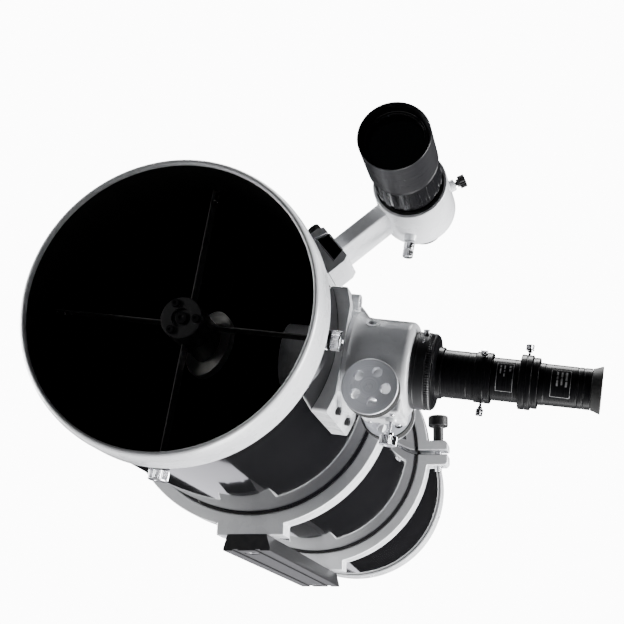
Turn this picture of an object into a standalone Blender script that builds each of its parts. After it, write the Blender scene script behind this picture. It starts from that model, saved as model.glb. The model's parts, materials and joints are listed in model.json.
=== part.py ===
"""Optical tube of a 200 mm Newtonian reflector, held by two hinged rings on a dovetail bar.

Metres, +Z up. The tube lies along Y with its open front at -Y. The origin is the centre of
the dovetail bar's underside. A station is a distance back from the tube's front plane.
"""

import math

import bmesh
import bpy
from mathutils import Matrix, Vector

# Tube and its two end rings
TUBE_R = 0.116
TUBE_WALL = 0.0012
TUBE_START = 0.0039
TUBE_END = 0.8277
AXIS_HEIGHT = 0.1515
BAR_CENTRE_STATION = 0.4255
TRIM_R = 0.119
TRIM_LIP_R = 0.1128
TRIM_LENGTH = 0.035
REAR_R = 0.1186
REAR_START = 0.800
REAR_END = 0.833
REAR_OPENING_R = 0.080

# Cradle rings, hinged on the -X side and clamped on the +X side
RING_STATIONS = {"front": 0.2805, "rear": 0.5705}
RING_WIDTH = 0.025
RING_IN_R = 0.1208
RING_OUT_R = 0.1294
RING_SPLIT = 0.005
FOOT_HALF_WIDTH = 0.032
FOOT_DEPTH = 0.1362
LUG_REACH = 0.152
LUG_TOP = 0.011
LUG_BOTTOM = 0.0175
CLAMP_X = 0.140
HINGE_X = -0.1375
HINGE_Z = -0.002
KNUCKLE_R = 0.0065
HINGE_PIN_R = 0.003

# Dovetail bar
BAR_HEIGHT = 0.015
BAR_LENGTH = 0.335
BAR_HALF_WIDTH = 0.022
BAR_NECK_HALF_WIDTH = 0.0185

# Spider and secondary mirror
FOCUSER_AZIMUTH = math.radians(-8.3)
SPIDER_STATION = 0.059
VANE_DEPTH = 0.014
VANE_THICKNESS = 0.0008
HUB_R = 0.017
HUB_FRONT = 0.038
HUB_BACK = 0.066
HOLDER_R = 0.016
SECONDARY_R = 0.0275
SECONDARY_THICKNESS = 0.009
COLLIMATION_PITCH_R = 0.0125

# Primary mirror and its cell
MIRROR_R = 0.1016
MIRROR_FOCAL_LENGTH = 0.900
MIRROR_EDGE_STATION = 0.778
MIRROR_BACK_STATION = 0.8085
CELL_R = 0.106
CELL_FRONT = 0.809
CELL_BACK = 0.819
CELL_KNOB_PITCH_R = 0.092

# Focuser, measured outwards from the tube's axis
FOCUSER_STATION = 0.1223
DRAWTUBE_R = 0.027
DRAWTUBE_BORE_R = 0.0255
DRAWTUBE_START = 0.066
DRAWTUBE_END = 0.177
DRAWTUBE_FLAT = 0.0262
BASE_TOP = 0.1215
HOUSING_R = 0.0383
HOUSING_END = 0.1732
BLOCK_DEPTH = 0.042
COLLAR_END = 0.1898
SHAFT_R = 0.0027
SHAFT_Y = -0.0292
SHAFT_Z = 0.1485
KNOB_R = 0.0223
KNOB_INNER = 0.035
KNOB_OUTER = 0.050
KNOB_HOLES = 5
TENSION_OFFSET = 0.0115

# Finder, parallel to the tube
FINDER_AZIMUTH = math.radians(38)
FINDER_R = 0.2145
FINDER_SCREW_STATION = 0.146
FINDER_SCREW_ANGLES = {"finder_screw_1": 22, "finder_screw_2": 142, "finder_plunger": 262}
SHOE_FRONT = 0.106
SHOE_BACK = 0.148
SHOE_HALF_WIDTH = 0.019
SHOE_TOP = 0.136

GAP = 0.0003
FINE = 48
MEDIUM = 24
COARSE = 12

# Takes an (x, y) outline drawn across a radial frame and runs it along the tube
LENGTHWAYS = Matrix(((0, 0, 1), (-1, 0, 0), (0, -1, 0))).to_4x4()

WHITE = ("white_paint", (0.86, 0.87, 0.88), 0.25, 0.0)
BLACK_GLOSS = ("black_gloss", (0.012, 0.012, 0.014), 0.12, 0.0)
BLACK_SATIN = ("black_anodised", (0.02, 0.02, 0.022), 0.35, 0.6)
RUBBER = ("black_rubber", (0.02, 0.02, 0.02), 0.7, 0.0)
STEEL = ("bright_steel", (0.62, 0.62, 0.64), 0.22, 1.0)
ALUMINIUM = ("brushed_aluminium", (0.56, 0.57, 0.6), 0.32, 1.0)
GLASS = ("coated_glass", (0.03, 0.04, 0.05), 0.04, 0.0)
MIRROR = ("mirror_glass", (0.85, 0.87, 0.9), 0.03, 1.0)


def clear_scene():
    for item in list(bpy.data.objects):
        bpy.data.objects.remove(item, do_unlink=True)


def material(look):
    """The Principled material of a look, made once."""
    name, colour, roughness, metallic = look
    found = bpy.data.materials.get(name)
    if found:
        return found
    made = bpy.data.materials.new(name)
    made.use_nodes = True
    shader = made.node_tree.nodes["Principled BSDF"]
    shader.inputs["Base Color"].default_value = (*colour, 1.0)
    shader.inputs["Roughness"].default_value = roughness
    shader.inputs["Metallic"].default_value = metallic
    made.diffuse_color = (*colour, 1.0)
    return made


def empty(name, matrix):
    made = bpy.data.objects.new(name, None)
    bpy.context.scene.collection.objects.link(made)
    made.matrix_world = matrix
    return made


def tube_frame():
    """Local Z runs back along the tube from its front plane, local X is world X."""
    turn = Matrix(((1, 0, 0), (0, 0, 1), (0, -1, 0))).to_4x4()
    return Matrix.Translation((0, -BAR_CENTRE_STATION, AXIS_HEIGHT)) @ turn


def ring_frame(station):
    """Local X is world X, local Y is up and local Z runs forwards along the tube."""
    turn = Matrix(((1, 0, 0), (0, 0, -1), (0, 1, 0))).to_4x4()
    return Matrix.Translation((0, station - BAR_CENTRE_STATION, AXIS_HEIGHT)) @ turn


def radial_frame(azimuth, station):
    """Local Z points out from the tube's axis, local X runs back, local Y is tangential."""
    cos, sin = math.cos(azimuth), math.sin(azimuth)
    turn = Matrix(((0, -sin, cos), (1, 0, 0), (0, cos, sin))).to_4x4()
    return Matrix.Translation((0, station - BAR_CENTRE_STATION, AXIS_HEIGHT)) @ turn


def shift(x=0.0, y=0.0, z=0.0):
    return Matrix.Translation((x, y, z))


def turn_to(direction):
    """The rotation that takes local Z to a direction."""
    return Vector((0, 0, 1)).rotation_difference(Vector(direction)).to_matrix().to_4x4()


def arc(radius, start, end, steps, centre=(0.0, 0.0)):
    """Points on an arc, angles in degrees, both ends included."""
    points = []
    for i in range(steps + 1):
        angle = math.radians(start + (end - start) * i / steps)
        points.append((centre[0] + radius * math.cos(angle), centre[1] + radius * math.sin(angle)))
    return points


def add(name, bm, look, parent, at, smooth=True, tool=False):
    """Turn a bmesh into a named object at a place in its parent's frame."""
    bmesh.ops.remove_doubles(bm, verts=bm.verts, dist=0.000002)
    bmesh.ops.dissolve_degenerate(bm, edges=bm.edges, dist=0.000002)
    bmesh.ops.recalc_face_normals(bm, faces=bm.faces)
    mesh = bpy.data.meshes.new(name)
    bm.to_mesh(mesh)
    bm.free()
    made = bpy.data.objects.new(name, mesh)
    bpy.context.scene.collection.objects.link(made)
    made.parent = parent
    made.matrix_basis = at
    if tool:
        made.hide_render = True
        made.display_type = "WIRE"
        return made
    mesh.materials.append(material(look))
    if smooth:
        mesh.shade_smooth()
        mesh.set_sharp_from_angle(angle=math.radians(35))
    return made


def turned(name, outline, look, parent, at=Matrix(), steps=MEDIUM, tool=False):
    """Spin a (radius, height) outline about local Z; one that starts and ends on the axis is solid."""
    bm = bmesh.new()
    rows = []
    for radius, height in outline:
        count = steps if radius > 0 else 1
        angles = [2 * math.pi * i / steps for i in range(count)]
        rows.append([bm.verts.new((radius * math.cos(a), radius * math.sin(a), height)) for a in angles])
    solid = outline[0][0] == 0
    pairs = list(zip(rows, rows[1:]))
    if not solid:
        pairs.append((rows[-1], rows[0]))
    for (first, second), (low, high) in zip(pairs, zip(outline, outline[1:] + outline[:1])):
        if min(len(first), len(second)) == 1 and low[1] == high[1]:
            bm.faces.new(max(first, second, key=len))
            continue
        for i in range(steps):
            j = (i + 1) % steps
            corners = [first[i % len(first)], second[i % len(second)]]
            corners += [second[j % len(second)], first[j % len(first)]]
            bm.faces.new(list(dict.fromkeys(corners)))
    for vert in [vert for vert in bm.verts if not vert.link_faces]:
        bm.verts.remove(vert)
    return add(name, bm, look, parent, at, tool=tool)


def slab(name, outline, low, high, look, parent, at=Matrix(), tool=False, smooth=True):
    """Extrude an (x, y) outline from one local height to another."""
    bm = bmesh.new()
    face = bm.faces.new([bm.verts.new((x, y, low)) for x, y in outline])
    extruded = bmesh.ops.extrude_face_region(bm, geom=[face])
    moved = [item for item in extruded["geom"] if isinstance(item, bmesh.types.BMVert)]
    bmesh.ops.translate(bm, verts=moved, vec=(0, 0, high - low))
    return add(name, bm, look, parent, at, smooth=smooth, tool=tool)


def rod(name, radius, low, high, parent, at=Matrix(), steps=COARSE):
    """A plain round cutter or filler along local Z."""
    outline = [(0, low), (radius, low), (radius, high), (0, high)]
    return turned(name, outline, None, parent, at, steps, tool=True)


def box(name, size, parent, at):
    x, y, z = (value / 2 for value in size)
    return slab(name, [(-x, -y), (x, -y), (x, y), (-x, y)], -z, z, None, parent, at, tool=True)


def combine(target, tool, operation="DIFFERENCE"):
    step = target.modifiers.new(tool.name, "BOOLEAN")
    step.operation = operation
    step.solver = "EXACT"
    step.object = tool


def bevel(target, width, segments=2, angle=40):
    step = target.modifiers.new("edges", "BEVEL")
    step.width = width
    step.segments = segments
    step.limit_method = "ANGLE"
    step.angle_limit = math.radians(angle)


def thumbscrew(name, tip, neck, end, stem_r, head_r, look, parent, at):
    """A knurled-head screw: stem from tip to neck, head from neck to end, along local Z."""
    edge = 0.0006
    outline = [
        (0, tip), (stem_r, tip), (stem_r, neck), (head_r - edge, neck), (head_r, neck + edge),
        (head_r, end - edge), (head_r - edge, end), (0, end),
    ]
    return turned(name, outline, look, parent, at, COARSE)


def dovetail_bar():
    frame = empty("bar_frame", ring_frame(BAR_CENTRE_STATION))
    base = -AXIS_HEIGHT
    outline = [
        (-BAR_HALF_WIDTH, base), (BAR_HALF_WIDTH, base), (BAR_HALF_WIDTH, base + 0.0025),
        (BAR_NECK_HALF_WIDTH, base + BAR_HEIGHT), (-BAR_NECK_HALF_WIDTH, base + BAR_HEIGHT),
        (-BAR_HALF_WIDTH, base + 0.0025),
    ]
    half = BAR_LENGTH / 2
    bar = slab("dovetail_bar", outline, -half, half, BLACK_SATIN, frame, smooth=False)
    for place, station in RING_STATIONS.items():
        spot = shift(y=base, z=BAR_CENTRE_STATION - station) @ turn_to((0, 1, 0))
        hole = [(0, -0.0100), (0.0072, -0.0100), (0.0072, 0.0065), (0.0034, 0.0065), (0.0034, 0.0300),
                (0, 0.0300)]
        combine(bar, turned("bar_hole_" + place, hole, None, frame, spot, COARSE, tool=True))
        outline = [(0, 0.0006), (0.0063, 0.0006), (0.0063, 0.0062), (0.003, 0.0062), (0.003, 0.0240),
                   (0, 0.0240)]
        turned("foot_bolt_" + place, outline, STEEL, frame, spot, COARSE)


def ring_lower(place, frame):
    """The fixed half: foot, clamp lug and the two outer knuckles of the hinge."""
    half = RING_WIDTH / 2
    inner_end = math.degrees(math.asin(RING_SPLIT / RING_IN_R))
    outer_end = math.degrees(math.asin(RING_SPLIT / RING_OUT_R))
    foot_angle = math.degrees(math.acos(FOOT_HALF_WIDTH / RING_OUT_R))
    lug_angle = math.degrees(math.asin(LUG_BOTTOM / RING_OUT_R))
    outline = arc(RING_IN_R, -inner_end, -180 + inner_end, 16)
    outline += arc(RING_OUT_R, -180 + outer_end, -180 + foot_angle, 6)
    outline += [(-FOOT_HALF_WIDTH, -FOOT_DEPTH), (FOOT_HALF_WIDTH, -FOOT_DEPTH)]
    outline += arc(RING_OUT_R, -foot_angle, -lug_angle, 6)
    outline += [(LUG_REACH - 0.003, -LUG_BOTTOM), (LUG_REACH, -LUG_BOTTOM + 0.003)]
    outline += [(LUG_REACH, -RING_SPLIT)]
    ring = slab("ring_%s_lower" % place, outline, -half, half, WHITE, frame)
    bevel(ring, 0.0012, 1)
    for side in (-1, 1):
        low, high = sorted((side * 0.0053, side * (half - 0.0003)))
        knuckle = rod("lower_knuckle_%s_%d" % (place, side), KNUCKLE_R, low, high, frame,
                      shift(HINGE_X, HINGE_Z))
        combine(ring, knuckle, "UNION")
        neck_x = (HINGE_X - RING_OUT_R + 0.003) / 2
        neck = box("lower_neck_%s_%d" % (place, side), (0.0095, 0.007, high - low - 0.0004),
                   frame, shift(neck_x, HINGE_Z - 0.006, (low + high) / 2))
        combine(ring, neck, "UNION")
    combine(ring, rod("lower_pin_bore_" + place, HINGE_PIN_R + GAP, -0.02, 0.02, frame,
                      shift(HINGE_X, HINGE_Z)))
    slot = shift(CLAMP_X, -0.012) @ turn_to((0, 1, 0))
    combine(ring, rod("lower_lug_hole_" + place, 0.006, -0.012, 0.012, frame, slot))
    foot_hole = shift(0, -FOOT_DEPTH) @ turn_to((0, 1, 0))
    combine(ring, rod("foot_hole_" + place, 0.0034, -0.004, 0.0095, frame, foot_hole))


def ring_upper(place, frame):
    """The half that swings open, with its lug and the middle knuckle."""
    half = RING_WIDTH / 2
    hinge = empty("ring_%s_hinge" % place, Matrix())
    hinge.parent = frame
    hinge.matrix_basis = shift(HINGE_X, HINGE_Z)
    lug_angle = math.degrees(math.asin(LUG_TOP / RING_OUT_R))
    end_angle = math.degrees(math.asin(0.001 / RING_IN_R))
    outline = arc(RING_IN_R, 0, 180 - end_angle, 16)
    outline += arc(RING_OUT_R, 180 - end_angle, lug_angle, 16)
    outline += [(LUG_REACH - 0.003, LUG_TOP), (LUG_REACH, LUG_TOP - 0.003), (LUG_REACH, 0)]
    outline = [(x - HINGE_X, y - HINGE_Z) for x, y in outline]
    ring = slab("ring_%s_upper" % place, outline, -half, half, WHITE, hinge)
    bevel(ring, 0.0012, 1)
    combine(ring, rod("upper_knuckle_" + place, KNUCKLE_R, -0.0048, 0.0048, hinge), "UNION")
    neck = box("upper_neck_" + place, (0.0125, 0.007, 0.0092), hinge, shift(0.0058, 0.0052))
    combine(ring, neck, "UNION")
    combine(ring, rod("upper_pin_bore_" + place, HINGE_PIN_R + GAP, -0.02, 0.02, hinge))
    bore = shift(CLAMP_X - HINGE_X, -HINGE_Z) @ turn_to((0, 1, 0))
    combine(ring, rod("upper_lug_hole_" + place, 0.0034, -0.004, 0.02, hinge, bore))


def ring_fittings(place, frame):
    """Hinge pin, and the clamp bolt with its knob."""
    pin = [(0, -0.0132), (HINGE_PIN_R, -0.0132), (HINGE_PIN_R, 0.0132), (0, 0.0132)]
    turned("hinge_pin_" + place, pin, STEEL, frame, shift(HINGE_X, HINGE_Z), COARSE)
    at = shift(CLAMP_X) @ turn_to((0, 1, 0))
    bolt = [(0, -0.0235), (0.0036, -0.0235), (0.0042, -0.0225), (0.0042, -0.0185), (0.0028, -0.0179),
            (0.0028, 0.0400), (0, 0.0400)]
    turned("clamp_bolt_" + place, bolt, STEEL, frame, at, COARSE)
    knob = [(0, 0.0405), (0.0031, 0.0405), (0.0031, 0.0113), (0.0060, 0.0113), (0.0060, 0.0285),
            (0.0105, 0.0295), (0.0115, 0.0310), (0.0115, 0.0400), (0.0105, 0.0415), (0, 0.0418)]
    turned("clamp_knob_" + place, knob, RUBBER, frame, at, MEDIUM)


def tube_shell(frame):
    inner = TUBE_R - TUBE_WALL
    outline = [(inner, TUBE_START), (TUBE_R, TUBE_START), (TUBE_R, TUBE_END), (inner, TUBE_END)]
    tube = turned("tube", outline, BLACK_GLOSS, frame, steps=FINE)
    focuser = empty("focuser_hole_frame", radial_frame(FOCUSER_AZIMUTH, FOCUSER_STATION))
    combine(tube, rod("tube_focuser_hole", DRAWTUBE_R + 0.002, 0.09, 0.13, focuser, steps=MEDIUM))
    for i in range(4):
        spot = empty("vane_hole_frame_%d" % (i + 1),
                     radial_frame(FOCUSER_AZIMUTH + i * math.pi / 2, SPIDER_STATION))
        combine(tube, rod("vane_hole_%d" % (i + 1), 0.0024, 0.11, 0.12, spot, steps=12))


def trim_ring(frame):
    """Rolled front ring over the tube's edge, with a lip that reaches in past the wall."""
    slot = TUBE_START - GAP
    outline = [(TUBE_R + GAP, TRIM_LENGTH), (TRIM_R, TRIM_LENGTH), (TRIM_R, 0.0120)]
    outline += [(0.1178, 0.0035), (0.1166, 0.0010), (0.1150, 0), (0.1136, 0.0002)]
    outline += [(TRIM_LIP_R, 0.0012), (TRIM_LIP_R, slot), (TUBE_R + GAP, slot)]
    turned("trim_ring", outline, WHITE, frame, steps=FINE)


def rear_ring(frame):
    """Rear casting: sleeve over the tube and a flange that carries the mirror cell."""
    floor = REAR_END - 0.005
    outline = [(TUBE_R + GAP, REAR_START), (REAR_R, REAR_START), (REAR_R, REAR_END - 0.0025)]
    outline += [(REAR_R - 0.0025, REAR_END), (REAR_OPENING_R, REAR_END), (REAR_OPENING_R, floor)]
    outline += [(0.1128, floor), (0.1128, 0.8180), (TUBE_R - TUBE_WALL - GAP, 0.8180)]
    outline += [(TUBE_R - TUBE_WALL - GAP, floor), (TUBE_R + GAP, floor)]
    ring = turned("rear_ring", outline, WHITE, frame, steps=FINE)
    for i in range(3):
        combine(ring, rod("rear_hole_%d" % (i + 1), 0.0036, 0.82, 0.84, frame, cell_spot(i)))


def cell_spot(i):
    """Place of a mirror cell screw, spaced at thirds round the tube's axis."""
    angle = math.radians(-90 + 120 * i)
    place = shift(CELL_KNOB_PITCH_R * math.cos(angle), CELL_KNOB_PITCH_R * math.sin(angle))
    return place @ Matrix.Rotation(math.radians(7), 4, "Z")


def primary_mirror(frame):
    """Mirror with its real hollow curve, the plate it rests on and the adjusting knobs."""
    sag = MIRROR_R ** 2 / (4 * MIRROR_FOCAL_LENGTH)
    outline = [(0, MIRROR_BACK_STATION), (MIRROR_R, MIRROR_BACK_STATION)]
    for i in range(4):
        r = MIRROR_R * (3 - i) / 3
        outline.append((r, MIRROR_EDGE_STATION + sag * (1 - (r / MIRROR_R) ** 2)))
    turned("primary_mirror", outline, MIRROR, frame, steps=32)
    plate = [(0.025, CELL_FRONT), (CELL_R, CELL_FRONT), (CELL_R, CELL_BACK), (0.025, CELL_BACK)]
    cell = turned("mirror_cell", plate, BLACK_SATIN, frame, steps=32)
    for i in range(3):
        spot = cell_spot(i)
        combine(cell, rod("cell_hole_%d" % (i + 1), 0.0036, 0.80, 0.83, frame, spot))
        knob = [(0, 0.8105), (0.003, 0.8105), (0.003, REAR_END + GAP), (0.0084, REAR_END + GAP)]
        knob += [(0.009, REAR_END + 0.001), (0.009, 0.8440), (0.0080, 0.8450), (0, 0.8450)]
        turned("cell_knob_%d" % (i + 1), knob, STEEL, frame, spot, COARSE)


def spider(frame):
    """Hub, four thin vanes and the knurled nuts that tension them outside the tube."""
    edge = 0.0008
    outline = [(0, HUB_FRONT), (HUB_R - edge, HUB_FRONT), (HUB_R, HUB_FRONT + edge),
               (HUB_R, HUB_BACK - edge), (HUB_R - edge, HUB_BACK), (0, HUB_BACK)]
    hub = turned("spider_hub", outline, BLACK_SATIN, frame)
    recess = HUB_FRONT + 0.003
    bore = [(0, HUB_FRONT - 0.01), (0.0078, HUB_FRONT - 0.01), (0.0078, recess), (0.0029, recess),
            (0.0029, HUB_BACK + 0.01), (0, HUB_BACK + 0.01)]
    combine(hub, turned("hub_bore", bore, None, frame, steps=COARSE, tool=True))
    for i in range(3):
        angle = -FOCUSER_AZIMUTH + math.radians(120 * i)
        spot = shift(COLLIMATION_PITCH_R * math.cos(angle), COLLIMATION_PITCH_R * math.sin(angle))
        combine(hub, rod("hub_screw_hole_%d" % (i + 1), 0.0024, HUB_FRONT - 0.01, HUB_BACK + 0.01,
                         frame, spot))
        screw = [(0, HUB_BACK + 0.0030), (0.002, HUB_BACK + 0.0030), (0.002, HUB_FRONT - GAP),
                 (0.0034, HUB_FRONT - GAP), (0.0034, HUB_FRONT - 0.0030), (0, HUB_FRONT - 0.0030)]
        turned("secondary_screw_%d" % (i + 1), screw, STEEL, frame, spot, COARSE)
    inner, outer = HUB_R + GAP, TUBE_R - TUBE_WALL - GAP
    for i in range(4):
        arm = empty("vane_frame_%d" % (i + 1),
                    radial_frame(FOCUSER_AZIMUTH + i * math.pi / 2, SPIDER_STATION))
        x, y = VANE_DEPTH / 2, VANE_THICKNESS / 2
        outline = [(-x, -y), (x, -y), (x, y), (-x, y)]
        vane = slab("vane_%d" % (i + 1), outline, inner, outer - 0.0006, STEEL, arm, smooth=False)
        combine(vane, rod("vane_stud_%d" % (i + 1), 0.0019, 0.108, 0.1220, arm, steps=12), "UNION")
        nut = [(0, 0.1226), (0.0023, 0.1226), (0.0023, 0.1164), (0.0074, 0.1164), (0.0080, 0.1170),
               (0.0080, 0.1240), (0.0072, 0.1248), (0, 0.1248)]
        turned("vane_nut_%d" % (i + 1), nut, STEEL, arm, steps=COARSE)


def secondary_mirror(frame):
    """Diagonal flat and its holder, both cut at 45 degrees towards the focuser."""
    def leaning(bottom, top, radius, steps):
        """A cylinder along the tube whose chosen ends lean at 45 degrees."""
        bm = bmesh.new()
        rings = []
        for station, leans in (bottom, top):
            ring = []
            for i in range(steps):
                angle = 2 * math.pi * i / steps
                across, along = radius * math.cos(angle), radius * math.sin(angle)
                x = across * math.cos(-FOCUSER_AZIMUTH) - along * math.sin(-FOCUSER_AZIMUTH)
                y = across * math.sin(-FOCUSER_AZIMUTH) + along * math.cos(-FOCUSER_AZIMUTH)
                ring.append(bm.verts.new((x, y, station - (across if leans else 0))))
            rings.append(ring)
            bm.faces.new(ring)
        for i in range(steps):
            j = (i + 1) % steps
            bm.faces.new((rings[0][i], rings[0][j], rings[1][j], rings[1][i]))
        return bm
    behind = FOCUSER_STATION - SECONDARY_THICKNESS * math.sqrt(2)
    glass = leaning((behind, True), (FOCUSER_STATION, True), SECONDARY_R, 32)
    add("secondary_mirror", glass, MIRROR, frame, Matrix())
    holder = leaning((HUB_BACK + 0.0035, False), (behind - 0.0005, True), HOLDER_R, MEDIUM)
    body = add("secondary_holder", holder, BLACK_SATIN, frame, Matrix())
    stem = rod("holder_stem", 0.0025, HUB_FRONT + 0.0015, HUB_BACK + 0.008, frame)
    combine(body, stem, "UNION")


def focuser_base(frame):
    """Saddle that fits the tube, with sloping ends and small corner radii."""
    side, crown, foot = 0.0520, BASE_TOP, 0.0950
    profile = [(foot, -side), (foot, side), (crown - 0.0050, side), (crown, side - 0.0150),
               (crown, 0.0150 - side), (crown - 0.0050, -side)]
    across = Matrix(((0, 0, 1), (0, 1, 0), (-1, 0, 0))).to_4x4()
    profile = [(-z, y) for z, y in profile]
    base = slab("focuser_base", profile, -0.0430, 0.0450, WHITE, frame, across)
    plan = []
    for corner_x, corner_y, start in ((0.0418, 0.0488, 0), (-0.0398, 0.0488, 90),
                                      (-0.0398, -0.0488, 180), (0.0418, -0.0488, 270)):
        plan += arc(0.0030, start, start + 90, 3, (corner_x, corner_y))
    combine(base, slab("base_plan", plan, 0.090, 0.130, None, frame, tool=True), "INTERSECT")
    combine(base, rod("base_saddle", TUBE_R + GAP, -0.06, 0.06, frame, turn_to((1, 0, 0)),
                      steps=FINE))
    combine(base, rod("base_bore", DRAWTUBE_R + 0.0022, 0.08, 0.14, frame, steps=MEDIUM))
    return base


def focuser_housing(frame):
    """Round body with the block that carries the drive shaft."""
    low = BASE_TOP + GAP
    outline = [(0.0277, low), (0.0425, low), (0.0425, low + 0.0040), (HOUSING_R, low + 0.0090),
               (HOUSING_R, HOUSING_END - 0.0050), (0.0368, HOUSING_END - 0.0016),
               (0.0325, HOUSING_END), (0.0277, HOUSING_END)]
    housing = turned("focuser_housing", outline, WHITE, frame, steps=32)
    block = [(-0.0240, 0.1330), (0.0240, 0.1330), (0.0240, HOUSING_END - 0.0032),
             (-0.0240, HOUSING_END - 0.0032)]
    upright = Matrix(((1, 0, 0), (0, 0, -1), (0, 1, 0))).to_4x4()
    tool = slab("shaft_block", block, 0.0100, BLOCK_DEPTH, None, frame, upright, tool=True)
    bevel(tool, 0.0030, 1, 60)
    combine(housing, tool, "UNION")
    combine(housing, rod("housing_bore", 0.0277, 0.1100, 0.1800, frame, steps=32))
    shaft = shift(0, SHAFT_Y, SHAFT_Z) @ turn_to((1, 0, 0))
    combine(housing, rod("shaft_bore", SHAFT_R + 0.0004, -0.05, 0.05, frame, shaft))
    hole = shift(0, -BLOCK_DEPTH, SHAFT_Z + TENSION_OFFSET) @ turn_to((0, -1, 0))
    combine(housing, rod("tension_bore", 0.0020, -0.0080, 0.02, frame, hole, steps=12))


def focuser_drive(frame):
    """Drive shaft, its two drilled knobs and the tension screw."""
    along = shift(0, SHAFT_Y, SHAFT_Z) @ turn_to((1, 0, 0))
    shaft = [(0, -KNOB_OUTER), (SHAFT_R, -KNOB_OUTER), (SHAFT_R, KNOB_OUTER), (0, KNOB_OUTER)]
    turned("pinion_shaft", shaft, STEEL, frame, along, COARSE)
    web = KNOB_OUTER - 0.0070
    outline = [(0.0030, KNOB_INNER), (0.0075, KNOB_INNER), (0.0075, web), (KNOB_R, web),
               (KNOB_R, KNOB_OUTER - 0.0008), (KNOB_R - 0.0008, KNOB_OUTER), (0.0030, KNOB_OUTER)]
    for place, way in (("front", -1), ("rear", 1)):
        at = shift(0, SHAFT_Y, SHAFT_Z) @ turn_to((way, 0, 0))
        knob = turned("focus_knob_" + place, outline, ALUMINIUM, frame, at)
        for i in range(KNOB_HOLES):
            angle = math.radians(72 * i + 70)
            spot = at @ shift(0.0124 * math.cos(angle), 0.0124 * math.sin(angle))
            combine(knob, rod("knob_hole_%s_%d" % (place, i + 1), 0.0042, 0.03, 0.06, frame, spot,
                              steps=8))
    at = shift(0, -BLOCK_DEPTH, SHAFT_Z + TENSION_OFFSET) @ turn_to((0, -1, 0))
    thumbscrew("tension_screw", -0.0075, 0.0115, 0.0215, 0.0016, 0.0070, STEEL, frame, at)


def drawtube(frame):
    """Sliding tube with the flat that the shaft drives, and the collar on its outer end."""
    outline = [(DRAWTUBE_BORE_R, DRAWTUBE_START), (DRAWTUBE_R, DRAWTUBE_START),
               (DRAWTUBE_R, DRAWTUBE_END), (DRAWTUBE_BORE_R, DRAWTUBE_END)]
    tube = turned("drawtube", outline, ALUMINIUM, frame, steps=32)
    flat = box("drawtube_flat", (0.06, 0.01, 0.11), frame, shift(0, -DRAWTUBE_FLAT - 0.005, 0.115))
    combine(tube, flat)
    end = DRAWTUBE_END + GAP
    collar = [(DRAWTUBE_R + GAP, HOUSING_END + 0.0006), (0.0312, HOUSING_END + 0.0006),
              (0.0312, 0.1882), (0.0302, COLLAR_END), (0.0256, COLLAR_END),
              (0.0256, end), (DRAWTUBE_R + GAP, end)]
    turned("drawtube_collar", collar, BLACK_SATIN, frame, steps=32)


def eyepiece_stack(frame):
    """Adapter, Barlow lens and eyepiece, each held in the one before by a thumbscrew."""
    flange = COLLAR_END + GAP
    nose = HOUSING_END + 0.0010
    adapter = [(0.01595, 0.1550), (0.0200, 0.1550), (0.0200, nose), (0.0252, nose),
               (0.0252, flange), (0.0298, flange), (0.0292, flange + 0.0008),
               (0.0210, flange + 0.0022), (0.0206, 0.1964), (0.0192, 0.1968), (0.0192, 0.2215),
               (0.0202, 0.2225), (0.0202, 0.2351), (0.01595, 0.2351)]
    body = turned("eyepiece_adapter", adapter, BLACK_SATIN, frame)
    down = shift(0, 0, 0.2285) @ turn_to((0, -1, 0))
    combine(body, rod("adapter_screw_hole", 0.0016, 0.010, 0.03, frame, down, steps=12))
    thumbscrew("adapter_screw", 0.0175, 0.0230, 0.0310, 0.0012, 0.0029, STEEL, frame, down)

    barlow = [(0.0135, 0.2050), (0.01565, 0.2050), (0.01565, 0.2354), (0.0171, 0.2354),
              (0.0171, 0.2570), (0.0217, 0.2570), (0.0217, 0.2665), (0.0202, 0.2665),
              (0.0202, 0.2718), (0.01595, 0.2718), (0.01595, 0.2400), (0.0135, 0.2400)]
    body = turned("barlow_barrel", barlow, BLACK_SATIN, frame)
    up = shift(0, 0, 0.2620) @ turn_to((0, 1, 0))
    combine(body, rod("barlow_screw_hole", 0.0016, 0.010, 0.03, frame, up, steps=12))
    thumbscrew("barlow_screw", 0.0164, 0.0240, 0.0305, 0.0012, 0.0034, STEEL, frame, up)

    eyepiece = [(0, 0.2560), (0.0125, 0.2560), (0.0125, 0.2430), (0.01565, 0.2430),
                (0.01565, 0.2721), (0.0167, 0.2721), (0.0164, 0.3120), (0.0100, 0.3120),
                (0.0090, 0.3085), (0, 0.3085)]
    turned("eyepiece_body", eyepiece, BLACK_SATIN, frame)
    cup = [(0.0110, 0.3123), (0.0164, 0.3123), (0.0188, 0.3196), (0.0182, 0.3202),
           (0.0172, 0.3198), (0.0146, 0.3140), (0.0110, 0.3140)]
    turned("eyecup", cup, RUBBER, frame)


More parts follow.
